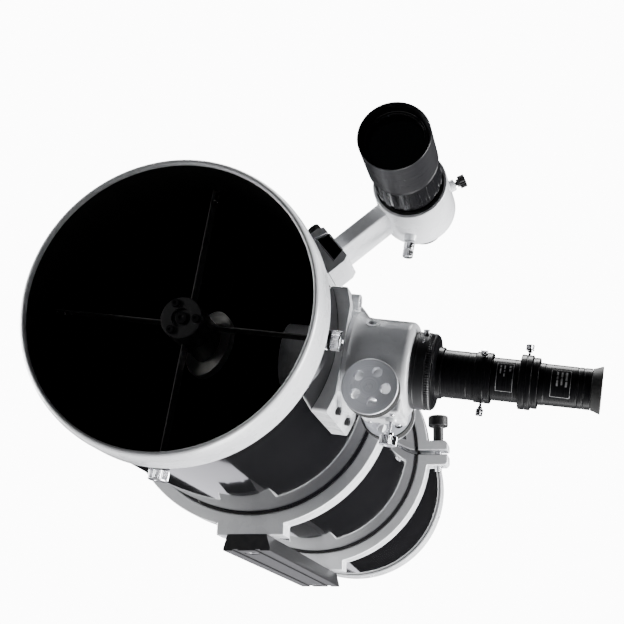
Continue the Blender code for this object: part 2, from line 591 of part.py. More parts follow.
def finder_shoe():
    """Dovetail shoe on the tube, and the thumbscrew that locks the bracket in it."""
    middle = (SHOE_FRONT + SHOE_BACK) / 2
    frame = empty("shoe_frame", radial_frame(FINDER_AZIMUTH, middle))
    half = (SHOE_BACK - SHOE_FRONT) / 2
    wide = SHOE_HALF_WIDTH
    outline = [(-wide, -0.105), (wide, -0.105), (wide, -0.131), (wide - 0.0025, -SHOE_TOP),
               (0.0105, -SHOE_TOP), (0.0135, -0.1240), (-0.0135, -0.1240), (-0.0105, -SHOE_TOP),
               (-wide + 0.0025, -SHOE_TOP), (-wide, -0.131)]
    shoe = slab("finder_shoe", outline, -half, half, WHITE, frame, LENGTHWAYS)
    combine(shoe, rod("shoe_saddle", TUBE_R + GAP, -0.06, 0.06, frame, turn_to((1, 0, 0)),
                      steps=FINE))
    side = shift(0, 0, 0.1295) @ turn_to((0, 1, 0))
    combine(shoe, rod("shoe_screw_hole", 0.0024, 0.008, 0.03, frame, side, steps=12))
    thumbscrew("shoe_screw", 0.0127, 0.0215, 0.0310, 0.0020, 0.0062, RUBBER, frame, side)


def finder_bracket(frame):
    """Foot, stalk and ring in one casting, with three bosses for the adjusting screws."""
    axis = shift(z=FINDER_R) @ turn_to((1, 0, 0))
    middle = FINDER_SCREW_STATION
    ring = [(0.0286, 0.107 - middle), (0.0310, 0.107 - middle), (0.0325, 0.165 - middle),
            (0.0286, 0.165 - middle)]
    bracket = turned("finder_bracket", ring, WHITE, frame, axis, 28)
    stalk = box("bracket_stalk", (0.042, 0.013, 0.0520), frame,
                shift(0.135 - middle, 0, 0.1590))
    bevel(stalk, 0.002, 1)
    combine(bracket, stalk, "UNION")
    outline = [(-0.0129, -0.1246), (0.0129, -0.1246), (0.0099, -0.1368), (-0.0099, -0.1368)]
    foot = slab("bracket_foot", outline, 0.108 - middle, 0.158 - middle, None, frame, LENGTHWAYS,
                tool=True)
    combine(bracket, foot, "UNION")
    for name, spot in finder_screw_spots().items():
        combine(bracket, rod(name + "_boss", 0.0050, 0.0300, 0.0365, frame, spot), "UNION")
    for name, spot in finder_screw_spots().items():
        combine(bracket, rod(name + "_hole", 0.0024, 0.0250, 0.0400, frame, spot, steps=12))


def finder_screw_spots():
    """Each adjusting screw's place: local Z runs out from the finder's axis."""
    spots = {}
    for name, degrees in FINDER_SCREW_ANGLES.items():
        angle = math.radians(degrees) - FINDER_AZIMUTH
        direction = (0, math.sin(angle), math.cos(angle))
        spots[name] = shift(z=FINDER_R) @ turn_to(direction)
    return spots


def finder_screws(frame):
    spots = finder_screw_spots()
    for name in ("finder_screw_1", "finder_screw_2"):
        thumbscrew(name, 0.0253, 0.0385, 0.0460, 0.0020, 0.0056, RUBBER, frame, spots[name])
    plunger = [(0, 0.0253), (0.0020, 0.0253), (0.0020, 0.0382), (0.0040, 0.0384), (0.0046, 0.0390),
               (0.0046, 0.0510), (0.0040, 0.0516), (0, 0.0516)]
    turned("finder_plunger", plunger, STEEL, frame, spots["finder_plunger"], COARSE)


def finder_optics():
    """Finder tube, fluted lock ring, objective cell with its lens, and eyepiece."""
    frame = empty("finder_axis", radial_frame(FINDER_AZIMUTH, 0) @ shift(z=FINDER_R)
                  @ turn_to((1, 0, 0)))
    tube = [(0.0233, 0.0500), (0.0250, 0.0500), (0.0250, 0.1750), (0.0188, 0.1850),
            (0.0160, 0.1850), (0.0160, 0.1780), (0.0233, 0.1700)]
    turned("finder_tube", tube, BLACK_GLOSS, frame)
    lock = [(0.0253, 0.0660), (0.0281, 0.0660), (0.0281, 0.0988), (0.0253, 0.0988)]
    turned("finder_lock_ring", lock, BLACK_SATIN, frame)
    cell = [(0.0227, 0.0272), (0.0256, 0.0264), (0.0281, 0.0170), (0.0290, 0.0170),
            (0.0290, 0.0655), (0.0254, 0.0655), (0.0254, 0.0292), (0.0227, 0.0288)]
    turned("finder_cell", cell, BLACK_SATIN, frame)
    lens = [(0, 0.0298), (0.0250, 0.0312), (0.0250, 0.0350), (0, 0.0370)]
    turned("finder_lens", lens, GLASS, frame)
    eyepiece = [(0, 0.1800), (0.0155, 0.1800), (0.0155, 0.1853), (0.0172, 0.1853),
                (0.0172, 0.2055), (0.0160, 0.2070), (0.0110, 0.2070), (0.0100, 0.2040), (0, 0.2040)]
    turned("finder_eyepiece", eyepiece, BLACK_SATIN, frame)


def main():
    clear_scene()
    dovetail_bar()
    for place, station in RING_STATIONS.items():
        ring = empty("ring_%s_frame" % place, ring_frame(station))
        ring_lower(place, ring)
        ring_upper(place, ring)
        ring_fittings(place, ring)
    tube_axis = empty("tube_axis", tube_frame())
    tube_shell(tube_axis)
    trim_ring(tube_axis)
    rear_ring(tube_axis)
    primary_mirror(tube_axis)
    spider(tube_axis)
    secondary_mirror(tube_axis)
    focuser_axis = empty("focuser_axis", radial_frame(FOCUSER_AZIMUTH, FOCUSER_STATION))
    focuser_base(focuser_axis)
    focuser_housing(focuser_axis)
    focuser_drive(focuser_axis)
    drawtube(focuser_axis)
    eyepiece_stack(focuser_axis)
    finder_shoe()
    bracket_axis = empty("bracket_frame", radial_frame(FINDER_AZIMUTH, FINDER_SCREW_STATION))
    finder_bracket(bracket_axis)
    finder_screws(bracket_axis)
    finder_optics()


main()
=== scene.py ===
"""Looks of a 200 mm Newtonian reflector's optical tube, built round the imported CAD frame.

Outlines are in millimetres. A station is a distance back from the tube's front plane.
"""

import json
import math

import bmesh
import bpy
from mathutils import Matrix, Vector


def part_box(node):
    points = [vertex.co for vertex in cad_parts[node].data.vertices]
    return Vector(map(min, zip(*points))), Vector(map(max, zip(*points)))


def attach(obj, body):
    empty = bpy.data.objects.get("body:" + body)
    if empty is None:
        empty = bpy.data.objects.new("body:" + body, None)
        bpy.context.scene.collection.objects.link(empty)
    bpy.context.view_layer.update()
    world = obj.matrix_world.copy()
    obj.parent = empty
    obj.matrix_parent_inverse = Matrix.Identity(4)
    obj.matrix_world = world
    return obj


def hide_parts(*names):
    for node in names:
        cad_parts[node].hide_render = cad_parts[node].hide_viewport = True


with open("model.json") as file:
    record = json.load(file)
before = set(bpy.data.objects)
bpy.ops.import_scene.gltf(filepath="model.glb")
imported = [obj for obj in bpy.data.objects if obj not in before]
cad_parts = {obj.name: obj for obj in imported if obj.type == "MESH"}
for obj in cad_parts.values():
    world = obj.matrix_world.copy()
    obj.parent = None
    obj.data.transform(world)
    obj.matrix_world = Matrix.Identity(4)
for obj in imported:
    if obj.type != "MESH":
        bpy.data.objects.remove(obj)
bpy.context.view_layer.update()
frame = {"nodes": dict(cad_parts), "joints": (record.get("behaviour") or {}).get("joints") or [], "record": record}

MM = 0.001
JOINTS = {joint["name"]: joint for joint in frame["joints"]}
BODIES = frame["record"]["behaviour"]["bodies"]
BODY_OF = {node: body for body, nodes in BODIES.items() for node in nodes}


def middle(node):
    low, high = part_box(node)
    return (low + high) / 2


AXIS_Z = JOINTS["tube_rotation"]["pos_m"][2]
FRONT_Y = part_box("trim_ring")[0].y
FOCUS_AXIS = JOINTS["focus_slide"]["axis"]
FOCUS_AZIMUTH = math.atan2(FOCUS_AXIS[2], FOCUS_AXIS[0])
FOCUS_Y = middle("drawtube").y
FINDER_LENS = middle("finder_lens")
FINDER_AZIMUTH = math.atan2(FINDER_LENS.z - AXIS_Z, FINDER_LENS.x)
FINDER_REACH = math.hypot(FINDER_LENS.z - AXIS_Z, FINDER_LENS.x) / MM
FINDER_SCREW_Y = middle("finder_plunger").y
VANE_Y = middle("vane_2").y

TUBE_R = 116
RIM_R = 118.6
RINGS = ("front", "rear")
RING_IN_R = 117.8
RING_OUT_R = 129.4
RING_HALF = 12.5
HINGE_X = JOINTS["ring_front_open"]["pos_m"][0] / MM
HINGE_Y = (JOINTS["ring_front_open"]["pos_m"][2] - AXIS_Z) / MM
CLAMP_X = JOINTS["clamp_front_turn"]["pos_m"][0] / MM
FOOT_Y = -136.2
BAR_TOP = (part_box("dovetail_bar")[1].z - AXIS_Z) / MM
BAR_BASE = -AXIS_Z / MM
HOUSING_END = 173.2
COLLAR_END = 189.8
BLOCK_DEPTH = 42
TENSION_Z = 160
SHAFT_DEPTH = 29.2
SHAFT_Z = 148.5
SET_SCREW_Z = 138.5
SET_SCREW_ANGLES = (46, 134)
ADAPTER_SCREW_Z = 228.5
COLLIMATION_R = 12.5
CELL_SCREW_R = 92


# ---- places

def at(x=0, y=0, z=0):
    return Matrix.Translation((x * MM, y * MM, z * MM))


def spun(degrees, axis="Z"):
    return Matrix.Rotation(math.radians(degrees), 4, axis)


def turn_to(direction):
    """The rotation that takes local Z to a direction."""
    return Vector((0, 0, 1)).rotation_difference(Vector(direction)).to_matrix().to_4x4()


def radial(azimuth, y):
    """Local Z points out from the tube's axis, local X runs back, local Y is tangential."""
    cos, sin = math.cos(azimuth), math.sin(azimuth)
    turn = Matrix(((0, -sin, cos), (1, 0, 0), (0, cos, sin))).to_4x4()
    return Matrix.Translation((0, y, AXIS_Z)) @ turn


def across_ring(end):
    """Local X is world X, local Y is up and local Z runs forwards, at a ring's middle."""
    return Matrix.Translation((0, middle("ring_%s_lower" % end).y, AXIS_Z)) @ UPRIGHT


def from_barrel(angle, z, out=0):
    """Local Z points out of the focuser's barrel at an angle round it, in the focuser's frame."""
    return spun(angle) @ at(z=z) @ TO_X @ at(z=out)


def along_shaft(way):
    """Local Z runs along the focuser's shaft, back or forwards, in the focuser's frame."""
    return at(0, -SHAFT_DEPTH, SHAFT_Z) @ turn_to((way, 0, 0))


TO_X = turn_to((1, 0, 0))
TO_Y = turn_to((0, 1, 0))
TO_MINUS_Y = turn_to((0, -1, 0))
UPRIGHT = Matrix(((1, 0, 0), (0, 0, -1), (0, 1, 0))).to_4x4()
TUBE = Matrix.Translation((0, FRONT_Y, AXIS_Z)) @ Matrix(((1, 0, 0), (0, 0, 1), (0, -1, 0))).to_4x4()
FOCUS = radial(FOCUS_AZIMUTH, FOCUS_Y)
SHOE = radial(FINDER_AZIMUTH, middle("finder_shoe").y)
BRACKET = radial(FINDER_AZIMUTH, FINDER_SCREW_Y)
FINDER = radial(FINDER_AZIMUTH, FRONT_Y) @ at(z=FINDER_REACH) @ TO_X
LENGTHWAYS = Matrix(((0, 0, 1), (-1, 0, 0), (0, -1, 0))).to_4x4()


# ---- materials

class Look:
    """A node material being put together."""

    def __init__(self, name, colour, roughness, metallic=0, coat=0):
        self.material = bpy.data.materials.new(name)
        self.material.use_nodes = True
        self.material.diffuse_color = (*colour, 1)
        self.tree = self.material.node_tree
        self.shader = self.tree.nodes["Principled BSDF"]
        self.colour = colour
        self.set("Base Color", (*colour, 1))
        self.set("Roughness", roughness)
        self.set("Metallic", metallic)
        self.set("Coat Weight", coat)
        self.set("Coat Roughness", 0.04)
        self.place = self.tree.nodes.new("ShaderNodeTexCoord").outputs["Object"]

    def set(self, socket, value):
        self.shader.inputs[socket].default_value = value

    def node(self, kind, **values):
        made = self.tree.nodes.new(kind)
        for name, value in values.items():
            setattr(made, name, value)
        return made

    def feed(self, target, source):
        if isinstance(source, (int, float, tuple)):
            target.default_value = source
        else:
            self.tree.links.new(source, target)

    def math(self, operation, first, second=0):
        made = self.node("ShaderNodeMath", operation=operation)
        self.feed(made.inputs[0], first)
        self.feed(made.inputs[1], second)
        return made.outputs[0]

    def noise(self, scale, detail=3, where=None):
        made = self.node("ShaderNodeTexNoise")
        made.inputs["Scale"].default_value = scale
        made.inputs["Detail"].default_value = detail
        self.feed(made.inputs["Vector"], where or self.place)
        return made.outputs["Fac"]

    def lathe(self, spread=1):
        """Coordinates in which marks run round the piece's local Z, as a lathe leaves them."""
        parts = self.node("ShaderNodeSeparateXYZ")
        self.feed(parts.inputs[0], self.place)
        across = self.math("POWER", parts.outputs["X"], 2)
        up = self.math("POWER", parts.outputs["Y"], 2)
        radius = self.math("SQRT", self.math("ADD", across, up))
        angle = self.math("ARCTAN2", parts.outputs["Y"], parts.outputs["X"])
        joined = self.node("ShaderNodeCombineXYZ")
        self.feed(joined.inputs["X"], radius)
        self.feed(joined.inputs["Y"], parts.outputs["Z"])
        self.feed(joined.inputs["Z"], self.math("MULTIPLY", angle, 0.0004 * spread))
        return joined.outputs[0]

    def between(self, factor, low, high, start, end):
        made = self.node("ShaderNodeMapRange")
        self.feed(made.inputs["Value"], factor)
        for socket, value in zip(("From Min", "From Max", "To Min", "To Max"), (start, end, low, high)):
            made.inputs[socket].default_value = value
        return made.outputs["Result"]

    def vary_colour(self, factor, other, start=0.35, end=0.75):
        made = self.node("ShaderNodeMix", data_type="RGBA")
        self.feed(made.inputs["Factor"], self.between(factor, 0, 1, start, end))
        made.inputs["A"].default_value = (*self.colour, 1)
        made.inputs["B"].default_value = (*other, 1)
        self.feed(self.shader.inputs["Base Color"], made.outputs["Result"])

    def vary_roughness(self, factor, low, high, start=0.3, end=0.7):
        self.feed(self.shader.inputs["Roughness"], self.between(factor, low, high, start, end))

    def bump(self, height, strength, distance_mm=0.05):
        made = self.node("ShaderNodeBump")
        made.inputs["Strength"].default_value = strength
        made.inputs["Distance"].default_value = distance_mm * MM
        self.feed(made.inputs["Height"], height)
        self.feed(self.shader.inputs["Normal"], made.outputs["Normal"])


def painted(name, colour, other, roughness, coat, peel):
    """Sprayed gloss paint: orange peel, faint mottle and uneven polish."""
    look = Look(name, colour, roughness, coat=coat)
    look.vary_colour(look.noise(14), other)
    look.vary_roughness(look.noise(60, 5), roughness * 0.8, roughness * 1.5)
    look.bump(look.noise(480, 2), peel, 0.06)
    return look.material


def turned_metal(name, colour, other, rough_low, rough_high, metallic, lines, coat=0, level=0.5):
    """Metal with the fine rings a lathe leaves."""
    look = Look(name, colour, rough_low, metallic, coat)
    look.set("Specular IOR Level", level)
    where = look.lathe()
    grain = look.noise(2600, 4, where)
    look.vary_colour(look.noise(500, 3, where), other)
    look.vary_roughness(grain, rough_low, rough_high)
    look.bump(grain, lines, 0.03)
    return look.material


def grainy(name, colour, other, roughness, scale, strength, sheen=0):
    """A dull surface with a fine random grain, such as rubber, felt or flat paint."""
    look = Look(name, colour, roughness)
    look.set("Sheen Weight", sheen)
    look.set("Specular IOR Level", 0.3)
    grain = look.noise(scale, 5)
    look.vary_colour(look.noise(scale * 0.12), other)
    look.vary_roughness(grain, roughness * 0.85, min(1, roughness * 1.1))
    look.bump(grain, strength, 0.15)
    return look.material


def brushed_disc():
    """Aluminium with straight-grained, radially lit brushing and faint scratches."""
    look = Look("brushed_aluminium_disc", (0.78, 0.79, 0.83), 0.5, 0.9)
    where = look.lathe(0.4)
    fine = look.noise(3200, 5, where)
    look.vary_colour(look.noise(900, 2, where), (0.66, 0.67, 0.71))
    look.vary_roughness(fine, 0.42, 0.6)
    look.bump(fine, 0.25, 0.03)
    return look.material


def lens_glass():
    """Coated lens: clear glass with a faint green-violet cast and a little dust."""
    look = Look("coated_lens", (0.72, 0.8, 0.78), 0, coat=0.4)
    look.set("Transmission Weight", 1)
    look.set("IOR", 1.52)
    look.set("Coat Tint", (0.75, 0.85, 1, 1))
    dust = look.noise(420, 6)
    look.vary_roughness(dust, 0, 0.05, 0.55, 0.8)
    return look.material


def mirror_face():
    """Aluminised glass, with a breath of dust."""
    look = Look("aluminised_mirror", (0.88, 0.89, 0.9), 0.02, 1)
    dust = look.noise(260, 6)
    look.vary_roughness(dust, 0.015, 0.1, 0.5, 0.8)
    look.vary_colour(dust, (0.8, 0.81, 0.82), 0.6, 0.9)
    return look.material


WHITE = painted("white_gloss_paint", (0.8, 0.81, 0.83), (0.76, 0.77, 0.8), 0.24, 0.5, 0.1)
TUBE_BLACK = painted("black_gloss_paint", (0.006, 0.006, 0.007), (0.01, 0.01, 0.011), 0.07, 1, 0.035)
FINDER_BLACK = painted("finder_black_paint", (0.01, 0.01, 0.011), (0.014, 0.014, 0.015), 0.16, 0.6, 0.06)
# Flat black paint for the tube's insides, also laid in the finder foot's pocket as painted shade.
FLAT_BLACK_AND_POCKET_SHADE = grainy("flat_black_inside", (0.004, 0.004, 0.0045), (0.007, 0.007, 0.007), 0.86, 900, 0.25)
SATIN = turned_metal("black_anodised", (0.012, 0.012, 0.014), (0.02, 0.02, 0.022), 0.26, 0.42, 0.2, 0.22)
BARREL = turned_metal("barrel_anodised", (0.005, 0.005, 0.006), (0.009, 0.009, 0.01), 0.22, 0.34, 0, 0.12,
                      0, 0.12)
GLOSSY = turned_metal("black_lacquer", (0.008, 0.008, 0.009), (0.014, 0.014, 0.016), 0.12, 0.2, 0.1, 0.08,
                      0.5)
PLASTIC = grainy("black_plastic", (0.014, 0.014, 0.015), (0.022, 0.022, 0.023), 0.36, 700, 0.12)
RUBBER = grainy("black_rubber", (0.014, 0.014, 0.014), (0.024, 0.024, 0.024), 0.62, 1200, 0.3)
FELT = grainy("black_felt", (0.01, 0.01, 0.011), (0.022, 0.022, 0.024), 0.95, 2200, 0.9, 0.35)
CHROME = turned_metal("bright_plating", (0.7, 0.7, 0.72), (0.55, 0.55, 0.58), 0.07, 0.2, 1, 0.06)
STEEL = turned_metal("zinc_steel", (0.5, 0.5, 0.51), (0.4, 0.4, 0.42), 0.22, 0.36, 1, 0.15)
ALUMINIUM = turned_metal("turned_aluminium", (0.9, 0.91, 0.94), (0.8, 0.81, 0.85), 0.3, 0.44, 0.3, 0.2)
DISC = brushed_disc()
GLASS = lens_glass()
MIRROR = mirror_face()
GROUND = grainy("ground_glass", (0.36, 0.4, 0.39), (0.3, 0.34, 0.33), 0.55, 1500, 0.2)
# Secondary's back and edge: real frosted glass, made far paler than the primary's ground glass as painted light
# for the dim inside of the tube.
SECONDARY_BACK_WITH_PAINTED_LIGHT = grainy("ground_glass_back", (0.86, 0.86, 0.83), (0.76, 0.76, 0.73), 0.5, 1200, 0.15)
INK = grainy("pale_print", (0.55, 0.55, 0.56), (0.45, 0.45, 0.46), 0.6, 1800, 0.1)
BAR = grainy("bar_anodised", (0.012, 0.012, 0.013), (0.02, 0.02, 0.021), 0.4, 1500, 0.12)
# Vanes: their black paint is lightened to grey as a painted highlight for the light their thin edges catch.
VANE_PAINTED_HIGHLIGHT = grainy("vane_paint", (0.22, 0.22, 0.22), (0.28, 0.28, 0.28), 0.35, 900, 0.1)
HUB = grainy("hub_paint", (0.075, 0.075, 0.077), (0.095, 0.095, 0.098), 0.42, 1100, 0.12)


# ---- mesh helpers

def arc(radius, start, end, steps, x=0, y=0):
    """Points on an arc, angles in degrees, both ends included."""
    turns = [math.radians(start + (end - start) * i / steps) for i in range(steps + 1)]
    return [(x + radius * math.cos(turn), y + radius * math.sin(turn)) for turn in turns]


def eased(outline, edge, closed=True, steps=3):
    """The outline with each real corner rounded; points on the turning axis stay."""
    points = []
    for i, (x, y) in enumerate(outline):
        here = Vector((x, y))
        back = Vector(outline[i - 1]) - here
        ahead = Vector(outline[(i + 1) % len(outline)]) - here
        end = not closed and i in (0, len(outline) - 1)
        if end or back.length < 1e-6 or ahead.length < 1e-6 or back.angle(-ahead) < math.radians(22):
            points.append((x, y))
            continue
        reach = min(edge, back.length * 0.45, ahead.length * 0.45)
        first = here + back.normalized() * reach
        last = here + ahead.normalized() * reach
        for k in range(steps + 1):
            t = k / steps
            point = first * (1 - t) ** 2 + here * (2 * t * (1 - t)) + last * t ** 2
            points.append((point.x, point.y))
    return points


def threads(radius, low, high, pitch=1, depth=0.5):
    """Outline points of a thread, as rings rather than a helix."""
    count = max(1, round(abs(high - low) / pitch))
    step = (high - low) / count
    points = []
    for i in range(count):
        points += [(radius - depth, low + step * (i + 0.1)), (radius, low + step * (i + 0.5))]
    return points + [(radius - depth, high)]


def groove(radius, z, depth=0.3, width=0.6, lean=0.3):
    """Outline points of a shallow groove that starts at z."""
    low, high = z + lean, z + lean + width
    return [(radius, z), (radius - depth, low), (radius - depth, high), (radius, high + lean)]


def fluted(count, depth, low, high, inner):
    """A ripple for turned: flutes on everything wider than inner, between two heights."""
    def ripple(radius, height, angle):
        if radius < inner or not low <= height <= high:
            return radius
        return radius - depth * (0.5 - 0.5 * math.cos(count * angle))
    return ripple


def hexagonal(inner):
    """A ripple that makes everything narrower than inner a hexagon: a socket."""
    def ripple(radius, height, angle):
        if radius > inner:
            return radius
        sector = (angle % (math.pi / 3)) - math.pi / 6
        return radius * math.cos(math.pi / 6) / math.cos(sector)
    return ripple


def place(obj, body=None, slot=None):
    """Tie a piece to its body; one named fine_NODE stands for that CAD node. The slot is not used."""
    node = obj.name.removeprefix("fine_")
    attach(obj, body or BODY_OF[node])
    if node != obj.name:
        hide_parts(node)


def finish(obj, edge=0, angle=35, sharp=32, **owner):
    """Round the edges, shade smoothly with real edges kept and flat faces flat, and place."""
    if edge:
        bevel(obj, edge, 3, angle)
    obj.data.shade_smooth()
    obj.data.set_sharp_from_angle(angle=math.radians(sharp))
    obj.modifiers.new("flat_faces", "WEIGHTED_NORMAL").keep_sharp = True
    place(obj, **owner)


def solid(name, verts, faces, look, where=Matrix()):
    """A named object from points in millimetres."""
    bm = bmesh.new()
    points = [bm.verts.new((x * MM, y * MM, z * MM)) for x, y, z in verts]
    for face in faces:
        bm.faces.new([points[i] for i in face])
    bmesh.ops.recalc_face_normals(bm, faces=bm.faces)
    mesh = bpy.data.meshes.new(name)
    bm.to_mesh(mesh)
    bm.free()
    obj = bpy.data.objects.new(name, mesh)
    bpy.context.scene.collection.objects.link(obj)
    mesh.materials.append(look)
    obj.matrix_world = where
    return obj


def lathe_mesh(outline, steps, ripple=None):
    """Points and faces of an (r, h) outline turned about local Z."""
    verts = []
    rows = []
    for radius, height in outline:
        row = []
        for i in range(steps if radius > 0 else 1):
            angle = 2 * math.pi * i / steps
            reach = ripple(radius, height, angle) if ripple and radius > 0 else radius
            row.append(len(verts))
            verts.append((reach * math.cos(angle), reach * math.sin(angle), height))
        rows.append(row)
    pairs = list(zip(rows, rows[1:]))
    if outline[0][0] > 0:
        pairs.append((rows[-1], rows[0]))
    faces = []
    for first, second in pairs:
        for i in range(steps):
            j = (i + 1) % steps
            corners = [first[i % len(first)], second[i % len(second)]]
            corners += [second[j % len(second)], first[j % len(first)]]
            corners = list(dict.fromkeys(corners))
            if len(corners) > 2:
                faces.append(corners)
    return verts, faces


def lathed(name, outline, look, where, steps=96, edge=0.4, ripple=None):
    """A blank turned about local Z, with its corners eased."""
    if edge:
        outline = eased(outline, edge, outline[0][0] > 0)
    return solid(name, *lathe_mesh(outline, steps, ripple), look, where)


def turned(name, outline, look, where, steps=96, edge=0.4, ripple=None, **owner):
    """A finished piece turned about local Z."""
    finish(lathed(name, outline, look, where, steps, edge, ripple), **owner)


def prism(name, outline, low, high, look=None, where=Matrix()):
    """A straight extrusion of an (x, y) outline along local Z."""
    count = len(outline)
    verts = [(x, y, low) for x, y in outline] + [(x, y, high) for x, y in outline]
    faces = [list(range(count))[::-1], list(range(count, 2 * count))]
    faces += [[i, (i + 1) % count, count + (i + 1) % count, count + i] for i in range(count)]
    return solid(name, verts, faces, look, where)


def drum(name, outline, steps=64):
    """A turned tool."""
    return solid(name, *lathe_mesh(outline, steps), None)


def rod(name, radius, low, high, steps=48):
    return drum(name, [(0, low), (radius, low), (radius, high), (0, high)], steps)


def block(name, x, y, z, edge=0):
    outline = [(x[0], y[0]), (x[1], y[0]), (x[1], y[1]), (x[0], y[1])]
    made = prism(name, outline, *z)
    if edge:
        bevel(made, edge)
    return made


def settle(obj):
    """Apply an object's modifiers."""
    graph = bpy.context.evaluated_depsgraph_get()
    mesh = bpy.data.meshes.new_from_object(obj.evaluated_get(graph))
    obj.modifiers.clear()
    obj.data = mesh


def carve(obj, tool, where=Matrix(), operation="DIFFERENCE"):
    """Cut a tool out of an object, or join it on, in the object's own frame."""
    tool.matrix_world = obj.matrix_world @ where
    step = obj.modifiers.new("carve", "BOOLEAN")
    step.operation = operation
    step.solver = "EXACT"
    step.object = tool
    bpy.context.view_layer.update()
    settle(obj)
    bpy.data.objects.remove(tool, do_unlink=True)


def bevel(obj, width, segments=3, angle=35):
    """Round the edges that turn by more than an angle."""
    step = obj.modifiers.new("edges", "BEVEL")
    step.width = width * MM
    step.segments = segments
    step.limit_method = "ANGLE"
    step.angle_limit = math.radians(angle)
    settle(obj)


def paint_where(obj, look, test):
    """Give a second material to the faces whose centre and normal, in mm, pass a test."""
    obj.data.materials.append(look)
    for face in obj.data.polygons:
        if test(face.center / MM, face.normal):
            face.material_index = len(obj.data.materials) - 1


def screw(name, where, body, look=CHROME, head=2.6, height=2, socket=1.3, slot="bright_steel"):
    """A socket-head screw standing on local z = 0."""
    floor = height - 1.1
    outline = [(0, floor), (socket, floor), (socket, height), (head, height), (head, 0), (0, 0)]
    turned(name, outline, look, where, 48, 0.25, hexagonal(socket + 0.1), body=body, slot=slot)


def thumbscrew(node, where, tip, neck, end, stem, head, look, flutes, depth):
    """A knurled thumbscrew with a threaded stem and waisted head."""
    waist = neck + (end - neck) * 0.22
    outline = [(0, tip), (stem * 0.7, tip)] + threads(stem, tip + 0.4, neck - 0.5, 0.8, stem * 0.18)
    outline += [(stem, neck - 0.3), (head * 0.62, neck), (head * 0.62, waist), (head, waist + 0.3),
                (head, end), (head * 0.55, end), (head * 0.5, end - 0.3), (0, end - 0.3)]
    knurl = fluted(flutes, depth, waist + 0.4, end - 0.05, head * 0.8)
    turned("fine_" + node, outline, look, where, flutes * 6, 0.3, knurl)


# ---- cradle

def dovetail_bar():
    where = across_ring("front")
    ring_y = middle("ring_front_lower").y
    low, high = sorted((ring_y - corner.y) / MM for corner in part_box("dovetail_bar"))
    edge = BAR_BASE + 2.5
    outline = [(-22, BAR_BASE), (22, BAR_BASE), (22, edge), (18.5, BAR_TOP), (-18.5, BAR_TOP), (-22, edge)]
    bar = prism("fine_dovetail_bar", outline, low, high, BAR, where)
    for side in (-10.5, 10.5):
        width, depth = (side - 2.2, side + 2.2), (BAR_BASE - 1, BAR_BASE + 1.2)
        carve(bar, block("groove", width, depth, (low - 1, high + 1)))
    for end in RINGS:
        offset = (ring_y - middle("ring_%s_lower" % end).y) / MM
        hole = drum("hole", [(0, -10), (7.2, -10), (7.2, 6.5), (3.4, 6.5), (3.4, 30), (0, 30)])
        carve(bar, hole, at(y=BAR_BASE, z=offset) @ TO_Y)
    finish(bar, 0.5, 40)
    for end in RINGS:
        spot = across_ring(end) @ at(y=BAR_BASE) @ TO_Y
        outline = [(0, 3.4), (2.6, 3.4), (2.6, 0.6), (6.3, 0.6), (6.3, 6.2), (3, 6.2)]
        outline += threads(3, 7, 23.5) + [(0, 24)]
        turned("fine_foot_bolt_" + end, outline, STEEL, spot, 48, 0.35, hexagonal(2.7))


def half_ring(end, half, outline):
    """A half ring's blank with its edges rounded."""
    ring = prism("fine_ring_%s_%s" % (end, half), outline, -RING_HALF, RING_HALF, WHITE, across_ring(end))
    bevel(ring, 1.2, 3, 40)
    return ring


def ring_lower(end):
    outline = arc(RING_IN_R, -2.43, -177.57, 96)
    outline += arc(RING_OUT_R, -177.8, -104.3, 48)
    outline += [(-32, FOOT_Y), (32, FOOT_Y)]
    outline += arc(RING_OUT_R, -75.7, -7.8, 48)
    outline += [(149, -17.5), (152, -14.5), (152, -5)]
    ring = half_ring(end, "lower", outline)
    hinge = at(HINGE_X, HINGE_Y)
    for side in (-1, 1):
        low, high = sorted((side * 5.3, side * 12.2))
        carve(ring, rod("knuckle", 6.5, low, high), hinge, "UNION")
        neck = block("neck", (-8.5, 0.9), (-3.5, 3.5), (low + 0.2, high - 0.2))
        carve(ring, neck, at(-RING_OUT_R, HINGE_Y - 6), "UNION")
    carve(ring, rod("pin_bore", 3.3, -20, 20), hinge)
    carve(ring, rod("lug_hole", 6, -12, 12), at(CLAMP_X, -12) @ TO_Y)
    carve(ring, rod("foot_hole", 3.4, -4, 9.5), at(0, FOOT_Y) @ TO_Y)
    finish(ring)
    felt(end, "lower", -176.5, -3.5, "cradle")


def ring_upper(end):
    outline = arc(RING_IN_R, 0, 179.5, 96)
    outline += arc(RING_OUT_R, 179.5, 4.88, 96)
    outline += [(149, 11), (152, 8), (152, 0)]
    ring = half_ring(end, "upper", outline)
    hinge = at(HINGE_X, HINGE_Y)
    carve(ring, rod("knuckle", 6.5, -4.8, 4.8), hinge, "UNION")
    carve(ring, block("neck", (-0.5, 12), (1.7, 8.7), (-4.6, 4.6)), hinge, "UNION")
    carve(ring, rod("pin_bore", 3.3, -20, 20), hinge)
    carve(ring, rod("lug_hole", 3.4, -4, 20), at(CLAMP_X) @ TO_Y)
    finish(ring)
    felt(end, "upper", 2, 178, "ring_%s_upper" % end)


def felt(end, half, start, stop, body):
    """The lining glued in a half ring, a little proud of both faces."""
    outline = arc(TUBE_R + 0.35, start, stop, 96) + arc(RING_IN_R - 0.1, stop, start, 96)
    reach = RING_HALF + 0.6
    lining = prism("felt_%s_%s" % (end, half), outline, -reach, reach, FELT, across_ring(end))
    finish(lining, body=body, slot="knob_plastic")


